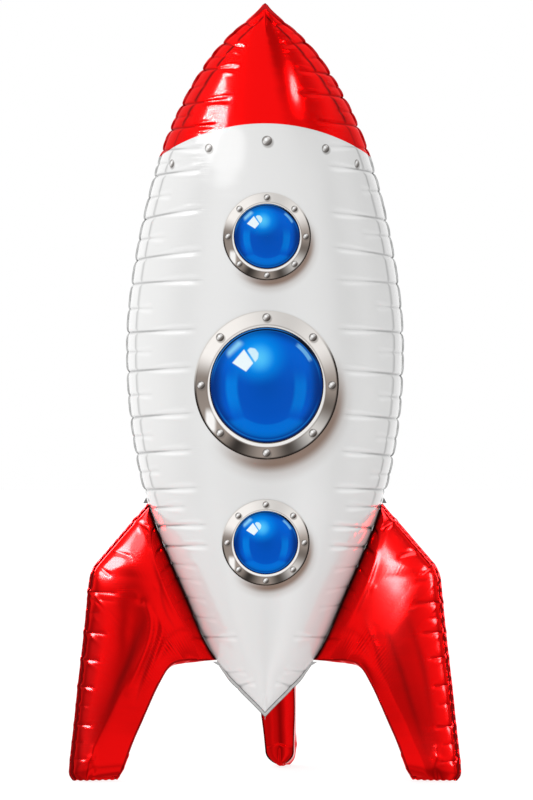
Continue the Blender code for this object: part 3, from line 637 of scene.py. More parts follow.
def make_glass(label):
    cx, cy, _, _, gx, gz, *_ = RINGS[label]
    material, shader = new_material(f"glass_print_{label}", metallic=0.0, roughness=0.12)
    shader.inputs["Specular IOR Level"].default_value = 0.05
    x, _, z, _ = position()
    p, q = (x - cx) / gx, (z - cy) / gz
    r = length(p, q)
    turn = op("ARCTAN2", q, p)
    aside = op("ABSOLUTE", p)
    gp, gq = p + 0.16, q - 0.50
    bulge = q * q * 0.42
    left = ramp(p + 0.71 - bulge, -0.04, 0.03) * ramp(p + 0.52 - bulge, 0.04, -0.03)
    right = ramp(p - 0.49 + bulge, -0.03, 0.04) * ramp(p - 0.70 + bulge, 0.03, -0.03)
    curved_strip = ramp(r, 0.835, 0.855) * ramp(r, 0.925, 0.90)
    marks = [
        # light from above, and dusk at the sides
        (ramp(q, -0.1, 0.6) * ramp(q, 1.0, 0.6), 0.4, (0, 110, 225)),
        (ramp(aside, 0.66, 0.95) * ramp(op("ABSOLUTE", q), 0.6, 0.1), 0.7, (0, 46, 120)),
        # the glow round the window
        (ramp(op("SQRT", gp * gp + gq * gq * 1.25), 0.62, 0.05), 0.90, (0, 160, 255)),
        (ramp(length(p + 0.12, q - 0.47), 0.30, 0.0), 0.75, (95, 210, 255)),
        # side bands, lower crescent, the strips near the rim and the window
        (left * ramp(q, 0.34, 0.0) * ramp(q, -0.66, -0.20), 0.60, (0, 140, 236)),
        (right * ramp(q, 0.32, -0.05) * ramp(q, -0.58, -0.30), 0.52, (0, 138, 232)),
        (ramp(r, 0.66, 0.70) * ramp(r, 0.95, 0.86) * ramp(q + aside * 0.25, -0.40, -0.52), 0.55, (0, 126, 226)),
        (polygon_mask(p, q, STRIP, 0.05), 0.85, (150, 222, 255)),
        (curved_strip * ramp(turn, 0.46, 0.56) * ramp(turn, 0.96, 0.86), 0.65, (130, 205, 250)),
        (polygon_mask(p, q, WINDOW, 0.012), 1.0, (238, 251, 255)),
        (polygon_mask(p, q, LEAF, 0.015), 0.95, (215, 245, 255)),
        # rim: a thin light line, a black step at the top, a blue edge beyond it and the outline
        (ramp(r, 0.925, 0.94) * ramp(r, 0.965, 0.95) * ramp(op("ABSOLUTE", q + 0.1), 0.05, 0.6), 0.40, (20, 140, 240)),
        (ramp(r, 0.935, 0.95) * ramp(q, 0.25, 0.62), 1.0, (4, 12, 30)),
        (ramp(r, 0.962, 0.975) * ramp(q - p * 0.5, 0.45, 0.9), 1.0, (40, 120, 200)),
        (ramp(r, 0.975, 0.995), 1.0, (30, 32, 40)),
    ]
    base = colour_ramp(r, [(share, rgb(*colour)) for share, colour in GLASS_STOPS])
    for mask, strength, colour in marks:
        base = mix(mask * strength, base, rgb(*colour))
    wire(base, shader.inputs["Base Color"])
    return material


WHITE = make_white()
RED = make_red("red_film")
FIN_RED = make_red("red_fin_film", with_welds_and_shade=True)
SILVER = make_silver()


# Envelope


NOSE_ROWS = 220
TIP_GAP = 0.0002  # how far the film's rows stop from the envelope's tips


def line_height(share):
    """Height of the line between nose and hull at each share of a gore's width."""
    z = np.full_like(share, NOSE_LINE_Z)
    for _ in range(30):
        x = half_width(z) * np.sin(share * chord_angle(z)) / np.sin(chord_angle(z))
        z = NOSE_LINE_Z - NOSE_LINE_FALL * x**2
    return z


def ease(count, ends):
    """Shares from 0 to 1, closer together at both ends."""
    t = np.linspace(0, 1, count)
    return t - ends * np.sin(2 * math.pi * t) / (2 * math.pi)


def add_gore(label, side, low, high, columns, rows):
    share = low + (high - low) * ease(columns, 0.45)
    line = line_height(share)
    for band, material, slot, count, top, bottom in (
        ("nose", RED, "red_foil", NOSE_ROWS, np.full_like(line, NOSE_Z), line),
        ("hull", WHITE, "white_foil", rows, line, np.full_like(line, TAIL_Z)),
    ):
        t = np.linspace(0, 1, count)[:, None]
        z = top + (bottom - top) * t
        z = np.clip(z, TAIL_Z + TIP_GAP, NOSE_Z - TIP_GAP)
        points, ruck, fold = gore_surface(side, np.broadcast_to(share, z.shape), z)
        obj = grid_object(f"{band}_film_{label}", points, {"ruck": ruck, "fold": fold}, flip=side > 0)
        piece(obj, material, slot, f"{band}_{label}")


REAR_SHARE = REAR_TURN / (math.pi / 2)
add_gore("front", -1, -1.0, 1.0, 112, 880)
add_gore("rear_left", 1, -1.0, REAR_SHARE, 64, 700)
add_gore("rear_right", 1, REAR_SHARE, 1.0, 64, 700)


# Seams

TIP_STEP, TIP_STEPS = 0.0022, 8  # a seam's rows beyond each tip
SEAM_ROWS = 620
BELOW_FILM = 0.006  # how far a sealed edge reaches in under the film
SEAM_THICKNESS, FLANGE_THICKNESS = 0.0008, 0.0009
TOP_Z = 1.4995


def normals(path):
    """Unit normals of a flat path, on the side where the first coordinate grows at its middle."""
    along = np.gradient(path, axis=0)
    along /= np.linalg.norm(along, axis=1)[:, None]
    out = np.stack([-along[:, 1], along[:, 0]], axis=-1)
    return -out if out[len(path) // 2, 0] < 0 else out


def turned(points, turn):
    """Points of an upright plane through the envelope's axis, turned about it into the frame."""
    out = np.empty_like(points)
    out[..., 0] = points[..., 0] * math.cos(turn) - points[..., 1] * math.sin(turn)
    out[..., 1] = points[..., 0] * math.sin(turn) + points[..., 1] * math.cos(turn) + AXIS_Y
    out[..., 2] = points[..., 2]
    return out


def thicken(obj, thickness):
    modifier = obj.modifiers.new("thickness", "SOLIDIFY")
    modifier.thickness = thickness
    modifier.offset = 0.0


def hull_radius(z, from_y_axis):
    angle = chord_angle(z)
    radius = half_width(z) / np.sin(angle)
    back = radius * np.cos(angle)
    along = back * np.cos(from_y_axis)
    return -along + np.sqrt(along**2 + radius**2 - back**2)


def add_seam(name, from_y_axis, azimuth, creases, seed):
    """A thin welded strip that stands proud of the envelope, wavy where the film gathers."""
    z = np.linspace(NOSE_Z, TAIL_Z, SEAM_ROWS)
    rho = hull_radius(np.clip(z, TAIL_Z + 1e-4, NOSE_Z - 1e-4), from_y_axis)
    path = np.stack([rho, z], axis=-1)
    rise = relief(z, 0.0 * z, creases, 1)[0] * np.minimum(1, rho / 0.10)
    beside_fin = (z > 0.20) & (z < 0.56)
    path = path + np.column_stack([np.where(beside_fin, np.minimum(rise, -0.0004), rise), 0 * z])
    over = np.arange(1, TIP_STEPS + 1)[:, None] * TIP_STEP
    path[:, 0] = np.maximum(path[:, 0], 0.0)
    start = path[0] + (path[0] - path[9]) / np.linalg.norm(path[0] - path[9]) * over[::-1]
    end = path[-1] + (path[-1] - path[-10]) / np.linalg.norm(path[-1] - path[-10]) * over
    path = np.vstack([start, path, end])
    z = path[:, 1]
    out = normals(path)
    reach = 0.0032 + 0.0034 * smoothstep(0.226, 0.186, z) + 0.0050 * np.exp(-np.maximum(NOSE_Z - z, 0) / 0.012)
    at_fin = smoothstep(0.565, 0.545, z) * smoothstep(0.222, 0.229, z)
    reach = reach * (1 - at_fin)
    wave = np.zeros_like(z)
    rng = np.random.default_rng(seed)
    for z_seam, _, _, strength in creases:
        near = bell((z - z_seam) / 0.007)
        wave += strength * near * rng.uniform(0.5, 1.0)
    upper = smoothstep(0.23, 0.26, z)
    reach = reach * (1.05 - (0.08 + 0.27 * upper) * np.minimum(wave, 1)) + 0.0004 * at_fin
    side = 0.0016 * np.sin(z * 210 + 2 * np.sin(z * 37)) * (1 - at_fin) * upper
    columns = []
    for t in (-1.0, 0.05, 0.45, 1.0):
        d = np.where(t < 0, BELOW_FILM * t, reach * t)
        p = path + out * d[:, None]
        # the part beyond the axis folds onto the point where the column meets it
        inside = np.nonzero(p[:, 0] >= 0)[0]
        first, last = inside[0], inside[-1]
        for k, edge in ((slice(0, first), first), (slice(last + 1, None), last)):
            beyond = first - 1 if edge == first else min(last + 1, len(p) - 1)
            cut = p[edge, 0] / max(p[edge, 0] - p[beyond, 0], 1e-9)
            p[k] = (0.0, p[edge, 1] + (p[beyond, 1] - p[edge, 1]) * cut)
        columns.append(np.stack([p[:, 0], side * max(t, 0), p[:, 1]], axis=-1))
    local = np.stack(columns, axis=1)
    local[..., 2] = np.minimum(local[..., 2], TOP_Z)
    lines = np.broadcast_to(np.array([0.0, 1.0, 0.0, 1.0]), local.shape[:2])
    obj = grid_object(f"{name}_film", turned(local, azimuth), {"weld": lines})
    thicken(obj, SEAM_THICKNESS)
    piece(obj, SILVER, "silver_foil", name)


QUARTER = math.pi / 2
add_seam("seam_left", QUARTER, math.pi, LEFT, 11)
add_seam("seam_right", QUARTER, 0.0, RIGHT, 12)
add_seam("seam_rear", REAR_TURN, QUARTER - REAR_TURN, REAR, 13)


# Fins: the same outline, swing and thickness as the CAD's, with the film's folds

FIN_TOP_Z, FIN_ROOT_LOW_Z = 0.529, 0.2285
# From the root to the foot: (distance from the axis and height of the inner edge, the same of the outer edge)
FIN_STATIONS = [
    (0.1300, 0.2262, 0.2600, 0.4900), (0.1580, 0.2260, 0.2985, 0.4460), (0.1768, 0.2232, 0.3245, 0.4160),
    (0.1895, 0.2165, 0.3345, 0.4010), (0.1998, 0.2045, 0.3395, 0.3830), (0.2090, 0.1885, 0.3435, 0.3480),
    (0.2205, 0.1660, 0.3485, 0.3000), (0.2335, 0.1365, 0.3555, 0.2400), (0.2465, 0.1060, 0.3635, 0.1750),
    (0.2600, 0.0750, 0.3705, 0.1100), (0.2715, 0.0450, 0.3765, 0.0600), (0.2795, 0.0235, 0.3800, 0.0270),
    (0.2850, 0.0095, 0.3805, 0.0105), (0.2920, 0.0010, 0.3750, 0.0010), (0.2960, -0.0035, 0.3700, -0.0035),
    (0.3000, -0.0070, 0.3660, -0.0070),
]
FIN_ROOT_GAP = 0.0005
FIN_SWING = math.radians(12)
FIN_ROWS, FIN_COLUMNS = 330, 66
PANEL_OFFSET = 0.0009
FLANGE_OUT = 0.0040
# The fins' crest lines: the share of the width where no line is drawn, and the lines in pixels
CREST = 0.42
CREST_PATH = [
    (184, 590), (168, 589), (156, 592), (149, 598), (145.5, 608), (143.3, 623), (140, 643), (133.3, 663), (125, 683),
    (116.7, 700), (106.7, 722), (96.7, 743), (90.8, 757.5), (86, 772),
]
RIGHT_CREST_PATH = [
    (346, 590), (356, 596), (362, 612), (365, 630), (375, 655), (385, 675), (394, 697), (405, 720), (413, 740),
    (421, 757), (427, 772),
]

# Creases from the outer edge, in pixels: (x and y at the edge, x and y of the inner end, strength)
LEFT_FIN_CREASES = [
    (134, 519, 151, 529, 0.9), (105, 548, 134, 558, 1.0), (94, 563, 112, 577, 0.8), (89, 591, 121, 593, 1.0),
    (88, 598, 118, 601, 0.45), (86, 612, 100, 612, 0.35), (84, 632, 109, 633.5, 0.9), (81.5, 659, 101, 660.5, 0.8),
    (78, 686, 96, 687.5, 0.75), (76, 705, 90, 705.5, 0.35), (73, 724, 94, 725.5, 0.75), (71, 742, 84, 742.5, 0.35),
    (69, 758.5, 89, 759.5, 0.6),
]
RIGHT_FIN_CREASES = [
    (397, 519, 381, 529, 0.9), (425, 547, 397, 557, 1.0), (436, 563, 418, 577, 0.8), (438, 579, 414, 582, 0.5),
    (440, 602, 411, 604, 1.0), (441, 618, 428, 619, 0.35), (443, 632, 420, 634, 0.85), (446, 657, 428, 659, 0.8),
    (448, 685, 432, 687, 0.75), (451, 704, 437, 705, 0.4), (453, 726, 434, 728, 0.75), (455, 744, 441, 745, 0.4),
    (458, 761, 438, 762, 0.6),
]

# Folds in the left fin's pixels: (path, half width, heights in half millimetres along it). Below 0 is a valley.
FIN_FOLDS = [
    ([(114, 560), (120, 566), (120, 576)], 24.0, [4.0, 7.0, 3.0]),
    ([(136, 598), (143, 602), (147, 604)], 4.5, [-1.0, -5.0, -1.0]),
    ([(129, 592), (139, 597), (147, 598)], 3.5, [0.0, 2.6, 0.0]),
    ([(137, 604), (134, 632), (129, 662), (120, 690)], 9.0, [-2.0, -6.0, -3.0, 0.0]),
    ([(146, 604), (151, 620), (149, 641), (138, 668), (125, 697)], 3.0, [1.5, 5.4, 5.4, 3.6, 0.0]),
    ([(158, 612), (162, 628), (158, 646), (149, 670), (141, 692)], 2.4, [0.5, 3.6, 3.6, 2.4, 0.0]),
    ([(160, 606), (158, 628), (150, 655), (140, 690), (133, 705)], 5.0, [0.0, -3.0, -3.4, -2.4, 0.0]),
    ([(153, 606), (157, 611), (160, 616)], 4.0, [0.0, 2.6, 0.0]),
    ([(166, 622), (158, 642), (150, 668)], 4.0, [0.5, 2.0, 0.0]),
    ([(149, 530), (153, 545), (156, 563), (165, 590), (174, 610), (184, 628)], 3.0, [0.5, 2.2, 3.2, 3.2, 2.4, 0.5]),
    ([(159, 538), (155, 552)], 2.2, [0.0, 1.8]),
    ([(163, 580), (156, 588)], 1.8, [0.0, 1.5]),
    ([(151, 529), (153, 540), (152, 552)], 2.4, [2.0, 1.0, 0.0]),
    ([(93, 748), (92.5, 757), (82, 764), (70.5, 771)], 3.0, [1.6, 2.4, 1.6, 0.8]),
    ([(92.5, 757), (94.5, 764), (95, 770)], 3.0, [2.2, 1.8, 0.6]),
    ([(94, 770), (93, 774), (92, 778)], 2.2, [-1.2, -1.6, -1.6]),
    ([(197, 641), (185, 633), (173, 637), (163, 649), (156, 668)], 3.5, [-1.0, -3.0, -3.4, -2.4, 0.0]),
]
RIGHT_FIN_FOLDS = [FIN_FOLDS[0]] + FIN_FOLDS[8:]

# Painted shade along the deepest valleys, in each fin's own pixels: (path, half width, strength)
FIN_VALLEYS = [
    ([(141, 600), (144, 619), (138, 637), (129, 662), (118, 687), (107, 718), (99, 743)], 4.2, 0.60),
    ([(157, 634), (152, 650), (147, 664), (141, 685), (136, 704)], 1.5, 0.50),
    ([(163, 560), (161, 590), (166, 612), (176, 630)], 1.6, 0.35),
]
RIGHT_FIN_VALLEYS = [
    ([(381, 606), (391, 640), (402, 672), (411, 702), (421, 733), (429, 760)], 3.0, 0.42),
    ([(403, 606), (416, 640), (424, 668), (430, 702), (434, 730)], 3.2, 0.38),
    ([(362, 606), (371, 632), (381, 664), (391, 696)], 2.0, 0.28),
]


def resample(curve, count):
    """Points of a curve at even steps of the longer of its two edges."""
    steps = np.maximum(
        np.linalg.norm(np.diff(curve[:, :2], axis=0), axis=1), np.linalg.norm(np.diff(curve[:, 2:], axis=0), axis=1)
    )
    along = np.concatenate([[0], np.cumsum(steps)])
    at = np.linspace(0, along[-1], count)
    return np.stack([np.interp(at, along, curve[:, k]) for k in range(4)], axis=1)


def run_of(path):
    """The distance run along a path at each of its points."""
    return np.concatenate([[0], np.cumsum(np.linalg.norm(np.diff(path, axis=0), axis=1))])


def root_radius(z, from_y_axis):
    """The hull's radius with the gap that the fins' roots leave."""
    step = 0.002
    slope = (hull_radius(z + step, from_y_axis) - hull_radius(z - step, from_y_axis)) / (2 * step)
    return hull_radius(z, from_y_axis) + FIN_ROOT_GAP * np.sqrt(1 + slope**2)


def root_edge(share, from_y_axis, swing):
    """Points of the fin's root in its plane, so that they lie on the hull once the fin has swung."""
    def at(z):
        return np.stack([root_radius(z, from_y_axis), z], axis=-1)

    low, top = at(np.array(FIN_ROOT_LOW_Z)), at(np.array(FIN_TOP_Z))
    along = (top - low) / np.linalg.norm(top - low)
    from_low = at(FIN_ROOT_LOW_Z + (FIN_TOP_Z - FIN_ROOT_LOW_Z) * np.asarray(share)) - low
    on_chord = (from_low @ along)[..., None] * along
    return low + on_chord + (from_low - on_chord) / math.cos(swing)


def swell(distance, full):
    """A quarter circle's rise from 0 to 1 over the distance full."""
    t = np.clip(distance / full, 0, 1)
    return np.sqrt(1 - (1 - t) ** 2)


def turn_about(points, anchor, axis, angle):
    """Points turned about an axis through the anchor."""
    axis = axis / np.linalg.norm(axis)
    p = points - anchor
    along = (p @ axis)[..., None] * axis
    return anchor + along + (p - along) * math.cos(angle) + np.cross(axis, p) * math.sin(angle)


def placer(from_y_axis, turn, swing):
    """The place in the frame of points given in a fin's own plane: out, off the plane, up."""
    top = np.array([root_radius(np.array(FIN_TOP_Z), from_y_axis), 0, FIN_TOP_Z])
    low = np.array([root_radius(np.array(FIN_ROOT_LOW_Z), from_y_axis), 0, FIN_ROOT_LOW_Z])

    return lambda points: turned(turn_about(points, top, top - low, swing), turn)


def off_plane(flat, off):
    """Points given in a fin's plane, moved off it."""
    return np.stack([flat[..., 0], off + 0 * flat[..., 0], flat[..., 1]], axis=-1)


def to_pixels(points):
    """Where the photograph shows points of the frame."""
    depth = CAMERA_DISTANCE / (CAMERA_DISTANCE + points[..., 1] - AXIS_Y)
    u = MIDDLE_X + (points[..., 0] - CAMERA_X) / PIXEL * depth
    v = MIDDLE_Y - (points[..., 2] - CAMERA_Z) / PIXEL * depth
    return u, v


def from_path(u, v, path):
    """Distance from a curved path, the share of it reached, and the side on which a point lies."""
    line = smooth_curve(path, 6) if len(path) > 2 else np.asarray(path, float)
    steps = np.linalg.norm(np.diff(line, axis=0), axis=1)
    starts = np.concatenate([[0], np.cumsum(steps)]) / steps.sum()
    best = np.full(u.shape, 1e9)
    share = np.zeros(u.shape)
    beyond = np.zeros(u.shape)
    for a, b, s0, s1 in zip(line, line[1:], starts, starts[1:]):
        d = b - a
        t = ((u - a[0]) * d[0] + (v - a[1]) * d[1]) / (d @ d)
        c = np.clip(t, 0, 1)
        away = np.hypot(u - a[0] - c * d[0], v - a[1] - c * d[1])
        nearer = away < best
        best = np.where(nearer, away, best)
        share = np.where(nearer, s0 + (s1 - s0) * c, share)
        beyond = np.where(nearer, ((u - a[0]) * d[1] - (v - a[1]) * d[0]) / np.linalg.norm(d), beyond)
    return best, share, beyond


def crossing(row, share, path, otherwise):
    """The share at which a row of points crosses a path."""
    for a, b in zip(path, path[1:]):
        d = b - a
        side = (row[:, 0] - a[0]) * d[1] - (row[:, 1] - a[1]) * d[0]
        at = ((row - a) @ d) / (d @ d)
        for k in np.nonzero(np.sign(side[1:]) != np.sign(side[:-1]))[0]:
            part = side[k] / (side[k] - side[k + 1])
            if 0 <= at[k] + (at[k + 1] - at[k]) * part <= 1:
                return share[k] + (share[k + 1] - share[k]) * part
    return otherwise


def fin_shape(from_y_axis, swing, creases, mirror):
    """A fin's grid in its plane, its half thickness there, its gusset's, its edges and its painted values."""
    low, top = root_edge(0.0, from_y_axis, swing), root_edge(1.0, from_y_axis, swing)
    curve = resample(smooth_curve([(*low, *top), *FIN_STATIONS], 20), FIN_ROWS)
    inner, outer = curve[:, :2], curve[:, 2:]
    share = (1 - np.cos(np.pi * np.linspace(0, 1, FIN_COLUMNS))) / 2
    step = np.linalg.norm((inner[1:] + outer[1:] - inner[:-1] - outer[:-1]) / 2, axis=1)
    along = np.concatenate([[0], np.cumsum(step)])
    bow = root_edge(share, from_y_axis, swing) - (low + (top - low) * share[:, None])
    reach = np.linalg.norm((FIN_STATIONS[2][0] - low[0], FIN_STATIONS[2][1] - low[1]))
    fade = np.clip(1 - np.linalg.norm(inner - inner[0], axis=1) / reach, 0, 1)
    plane = inner[:, None] + (outer - inner)[:, None] * share[None, :, None] + bow[None] * fade[:, None, None]

    width = np.linalg.norm(outer - inner, axis=1)
    foot_z = inner[-1, 1]
    middle_z = plane[:, FIN_COLUMNS // 2, 1]
    rise = 0.62 * swell(along, 0.040) + 0.38 * swell(along, 0.100)
    full = np.maximum(0.25 * (width**-8.0 + 0.19**-8.0) ** -0.125 * rise * swell(middle_z - foot_z, 0.034), 1e-5)
    if swing == 0:
        full = (full**-8.0 + 0.0315**-8.0) ** -0.125 * smoothstep(0, 0.004, full)
    part = (1.10 if swing == 0 else 0.80) * (0.30 + 0.70 * np.clip(along / 0.09, 0, 1))
    gusset = part * full * swell(inner[:, 1] - 0.004, 0.028)

    # the outer edge is wavy where the film gathers at the creases
    gathers = np.zeros(FIN_ROWS)
    place = placer(math.pi / 2, math.pi, FIN_SWING)
    edge_u, edge_v = to_pixels(place(off_plane(outer, 0.0)))
    if mirror:
        edge_u = MIRROR_X - edge_u
    for x, y, _, _, strength in creases:
        gathers = np.maximum(gathers, strength * bell(np.hypot(edge_u - x, edge_v - y) / 2.6))
    drawn = outer + normals(outer) * ((0.0040 * gathers - 0.0010) * np.clip(along / 0.02, 0, 1))[:, None]
    plane = plane + (drawn - outer)[:, None] * (share**6)[None, :, None]
    outer = drawn
    # the bands left flat at the outer and the inner edge
    margin = 0.0034 / np.maximum(width, 0.02)[:, None]
    lip = 0.0042 / np.maximum(width, 0.02)[:, None] * np.clip(along / 0.03, 0, 1)[:, None]
    # the crest of the swelling, where the photograph shows it
    t = share[None, :]
    leg = smoothstep(0.212, 0.15, inner[:, 1])[:, None]
    flat_u, flat_v = to_pixels(place(off_plane(plane, 0.03)))
    crest = np.full(FIN_ROWS, CREST)
    path = smooth_curve([(MIRROR_X - a, b) for a, b in RIGHT_CREST_PATH] if mirror else CREST_PATH, 8)
    for k in range(FIN_ROWS):
        row = np.stack([flat_u[k], flat_v[k]], axis=1)
        crest[k] = crossing(row, share, path, CREST)
    last = np.nonzero(inner[:, 1] >= 0.030)[0][-1]
    crest[last:] = crest[last]
    kernel = np.hanning(21) / np.hanning(21).sum()
    crest = np.convolve(np.pad(crest, 10, mode="edge"), kernel, mode="valid")[:, None]
    outside = np.clip((t - crest) / (1 - margin - crest), 0, 1)
    inside = np.clip((crest - t) / (crest - lip), 0, 1)
    power = 2.0 - 0.85 * leg
    edged = 0.10 + (0.06 if mirror else 0.25) * leg
    out_h = full[:, None] * ((1 - edged) * np.sqrt(1 - outside**2) + edged * (1 - outside))
    in_h = gusset[:, None] + (full - gusset)[:, None] * (1 - inside**power)
    base = np.where(t > crest, out_h, in_h)
    base = np.where(t > 1 - margin, 0.0, base)
    pinch = (1 - margin - t) * np.maximum(width, 0.02)[:, None]
    base = base * (1 - 0.9 * gathers[:, None] * bell(np.maximum(pinch, 0) / 0.006))

    # folds, laid out where the photograph shows them on the left fin's front
    u, v = to_pixels(place(off_plane(plane, base + PANEL_OFFSET)))
    bend, fold, ruck = (np.zeros_like(base) for _ in range(3))
    for path, half, heights in RIGHT_FIN_FOLDS if mirror else FIN_FOLDS:
        away, at, _ = from_path(u, v, path)
        heights = np.interp(at, np.linspace(0, 1, len(heights)), heights)
        bend += 0.0005 * heights * bell(away / half)
    cu = MIRROR_X - u if mirror else u
    for x0, y0, x1, y1, strength in creases:
        away, at, side = from_path(cu, v, [(x0, y0), (x1, y1)])
        fade = 1 - smoothstep(0.75, 1.0, at)
        half = 1.0 + 1.1 * at
        bend -= (0.0024 if mirror else 0.0020) * strength * fade * np.exp(0.4 - np.sqrt((away / half) ** 2 + 0.16))
        # painted shade along each crease's line
        fold = np.maximum(fold, strength * fade * bell((away + 0.2 * side) / 0.85) * (1 - 0.5 * at))
        bend -= 0.0009 * strength * bell(away / 5) * (1 - 0.8 * at)
        bend += (0.0008 if mirror else 0.0004) * strength * fade * smoothstep(0.4, 0.8, at) * bell((away - 3.4) / 1.7)
        ruck = np.maximum(ruck, strength * bell(np.hypot(cu - x1, v - y1) / 8))
    # painted shade along the deepest valleys
    for path, half, strength in RIGHT_FIN_VALLEYS if mirror else FIN_VALLEYS:
        away, at, _ = from_path(cu, v, path)
        fold = np.maximum(fold, strength * np.sin(np.pi * np.clip(at, 0.02, 0.98)) * bell(away / half))
    # the arch's gathers, which run out from the inner edge
    arch = bell((inner[:, 0] - 0.178) / 0.032)[:, None]
    run = run_of(inner)[:, None]
    gather = np.sin(run * 2 * math.pi / 0.0052 + 1.2 * np.sin(run * 190)) * bell((t - 0.17) / 0.10)
    bend += 0.00022 * arch * gather
    bend -= 0.0016 * arch * bell((t - 0.16) / 0.09)
    ruck = np.maximum(ruck, 0.8 * arch * bell((t - 0.2) / 0.15))
    free = np.minimum(1, 3.0 * t / 0.4) * np.clip((1 - margin - t) / 0.03, 0, 1)
    heights = np.maximum(base + bend * free, np.where(t > 1 - margin, 0.0, 0.0004))
    # painted shade: the inner lip darker as a weld, the outer flat band near black, the left fin's outer leg strip and
    # low part darker, a darker band near the root, and the root darkest where it meets the hull
    shade = np.maximum((t > 1 - margin) * 1.35, (t < lip) * 1.0)
    if not mirror:
        lowest = smoothstep(0.15, 0.06, inner[:, 1])[:, None]
        shade = np.maximum(shade, 0.64 * leg * smoothstep(0.74, 0.86, t))
        shade = np.maximum(shade, 0.52 * lowest * smoothstep(0.0, 0.10, t - crest))
    shade = np.maximum(shade, 0.55 * smoothstep(0.050, 0.015, along)[:, None] * smoothstep(0.10, 0.30, t))
    shade = np.maximum(shade, 1.6 * smoothstep(0.015, 0.004, along)[:, None])
    return plane, heights, gusset, ruck, inner, outer, gathers, fold, shade


def at_floor(points, seed):
    """Points kept off the floor, with a foot's hem in small scallops."""
    hem = 0.0004 + 0.0016 * np.abs(np.sin(points[..., 0] * 260 + seed)) ** 3
    points = points.copy()
    points[..., 2] = np.maximum(points[..., 2], hem)
    return points


def add_fin(name, from_y_axis, turn, swing, sides, creases, mirror, seed):
    plane, heights, gusset, ruck, inner, outer, gathers, fold, shade = fin_shape(from_y_axis, swing, creases, mirror)
    place = placer(from_y_axis, turn, swing)
    for side, word in sides.items():
        points = at_floor(place(off_plane(plane, side * (PANEL_OFFSET + heights))), seed)
        obj = grid_object(f"{name}_{word}_film", points, {"ruck": ruck, "weld": shade, "fold": fold}, flip=side < 0)
        piece(obj, FIN_RED, "red_foil", f"{name}_{word}_panel")

    # the gusset, a shallow roof between the panels' lips
    inward = normals(inner)
    t = np.linspace(-1, 1, 41)
    half = np.maximum(gusset, 0.0006)[:, None]
    roof = 0.36 * half * (1 - t[None] ** 2) if swing == 0 else 0.20 * half * (1 - np.abs(t)[None] ** 1.25)
    run = run_of(inner)[:, None]
    painted_line_and_pucker = (0.0 if swing == 0 else 0.0010) * np.sin(run * 2 * math.pi / 0.028)
    roof = roof + painted_line_and_pucker * (t[None] ** 2) * (1 - t[None] ** 4) * 4
    # three folds meet above the foot
    z = inner[:, 1][:, None]
    fork_z = 0.050 - 0.42 * np.abs(t)[None] * half
    roof = roof + 0.0034 * smoothstep(0.0035, -0.0035, z - fork_z) * (1 - t[None] ** 4)
    roof = roof + 0.0012 * bell((z - fork_z) / 0.0018) * (1 - t[None] ** 4)
    roof = roof - 0.0012 * bell(t[None] * half / 0.0016) * smoothstep(0.044, 0.040, z) * smoothstep(0.006, 0.014, z)
    lip = 0.0030 * np.minimum(1, half / 0.01)
    depth = lip - roof
    points = np.stack(
        [inner[:, :1] + inward[:, :1] * depth, (half + PANEL_OFFSET) * t[None], inner[:, 1:] + inward[:, 1:] * depth],
        axis=-1,
    )
    points = at_floor(place(points), seed)
    ruck_g = np.broadcast_to(0.3 * np.abs(t)[None], points.shape[:2])
    # weld and painted shade: the gusset darker towards the edges where it meets the panels
    weld = np.broadcast_to(0.6 * smoothstep(0.84, 0.93, np.abs(t))[None], points.shape[:2])
    obj = grid_object(f"{name}_gusset_film", points, {"ruck": ruck_g, "weld": weld})
    piece(obj, FIN_RED, "red_foil", f"{name}_gusset")

    # the welded flange, scalloped between the creases
    away = normals(outer)
    reach = FLANGE_OUT * (1.0 - 0.55 * gathers)
    wave = 0.0007 * np.sin(run_of(outer) * 2 * math.pi / 0.019) + 0.0008 * gathers
    columns = []
    for k in (-1.0, -0.4, 0.3, 1.0):
        p = outer + away * np.where(k < 0, BELOW_FILM * k, reach * k)[:, None]
        columns.append(np.stack([p[:, 0], wave * max(k, 0), p[:, 1]], axis=1))
    points = at_floor(place(np.stack(columns, axis=1)), seed)
    weld = np.ones(points.shape[:2])
    obj = grid_object(f"{name}_flange_film", points, {"ruck": weld * 0.4, "weld": weld})
    thicken(obj, FLANGE_THICKNESS)
    piece(obj, FIN_RED, "red_foil", f"{name}_flange")


def make_tab():
    """The film of the tabs and the valve: darker in the fins' shade, at their tops."""
    material, shader = new_material("tab_film", metallic=0.8, roughness=0.3)
    *_, z, vector = position()
    tone = noise(vector, 90.0, (1, 1, 3), 3.0)
    dark = mix(tone, rgb(118, 116, 116), rgb(176, 174, 174))
    pale = mix(tone, rgb(190, 190, 190), rgb(232, 232, 231))
    wire(mix(ramp(z, 0.30, 0.40), pale, dark), shader.inputs["Base Color"])
    bump(shader, noise(vector, 160.0, (1, 1, 2), 2.0), 0.0004)
    return material


TAB = make_tab()
for name in frame["nodes"]:
    if name.endswith("_tab") or name == "inflation_valve":
        for slot in bpy.data.objects[name].material_slots:
            slot.material = TAB

add_fin("fin_left", QUARTER, math.pi, FIN_SWING, {1: "front", -1: "rear"}, LEFT_FIN_CREASES, False, 1.0)
add_fin("fin_right", QUARTER, 0.0, -FIN_SWING, {-1: "front", 1: "rear"}, RIGHT_FIN_CREASES, True, 2.0)
add_fin("fin_rear", REAR_TURN, QUARTER - REAR_TURN, 0.0, {1: "left", -1: "right"}, LEFT_FIN_CREASES, False, 3.0)


# Printed portholes, as films that lie on the front gore

PRINT_LIFT = 0.0007
DISC_STEPS = 144
GLASS_MIDDLE = 0.0006  # share of the radius at which the glass's rows start


def front_point(x, z):
    """The print's place on the front film at x and z."""
    angle = chord_angle(z)
    radius = half_width(z) / np.sin(angle)
    turn = np.arcsin(np.clip(x / radius, -1, 1))
    points, _, _ = gore_surface(-1, turn / angle, z)
    normal = np.stack([np.sin(turn), -np.cos(turn), np.zeros_like(turn)], axis=-1)
    return points + normal * PRINT_LIFT


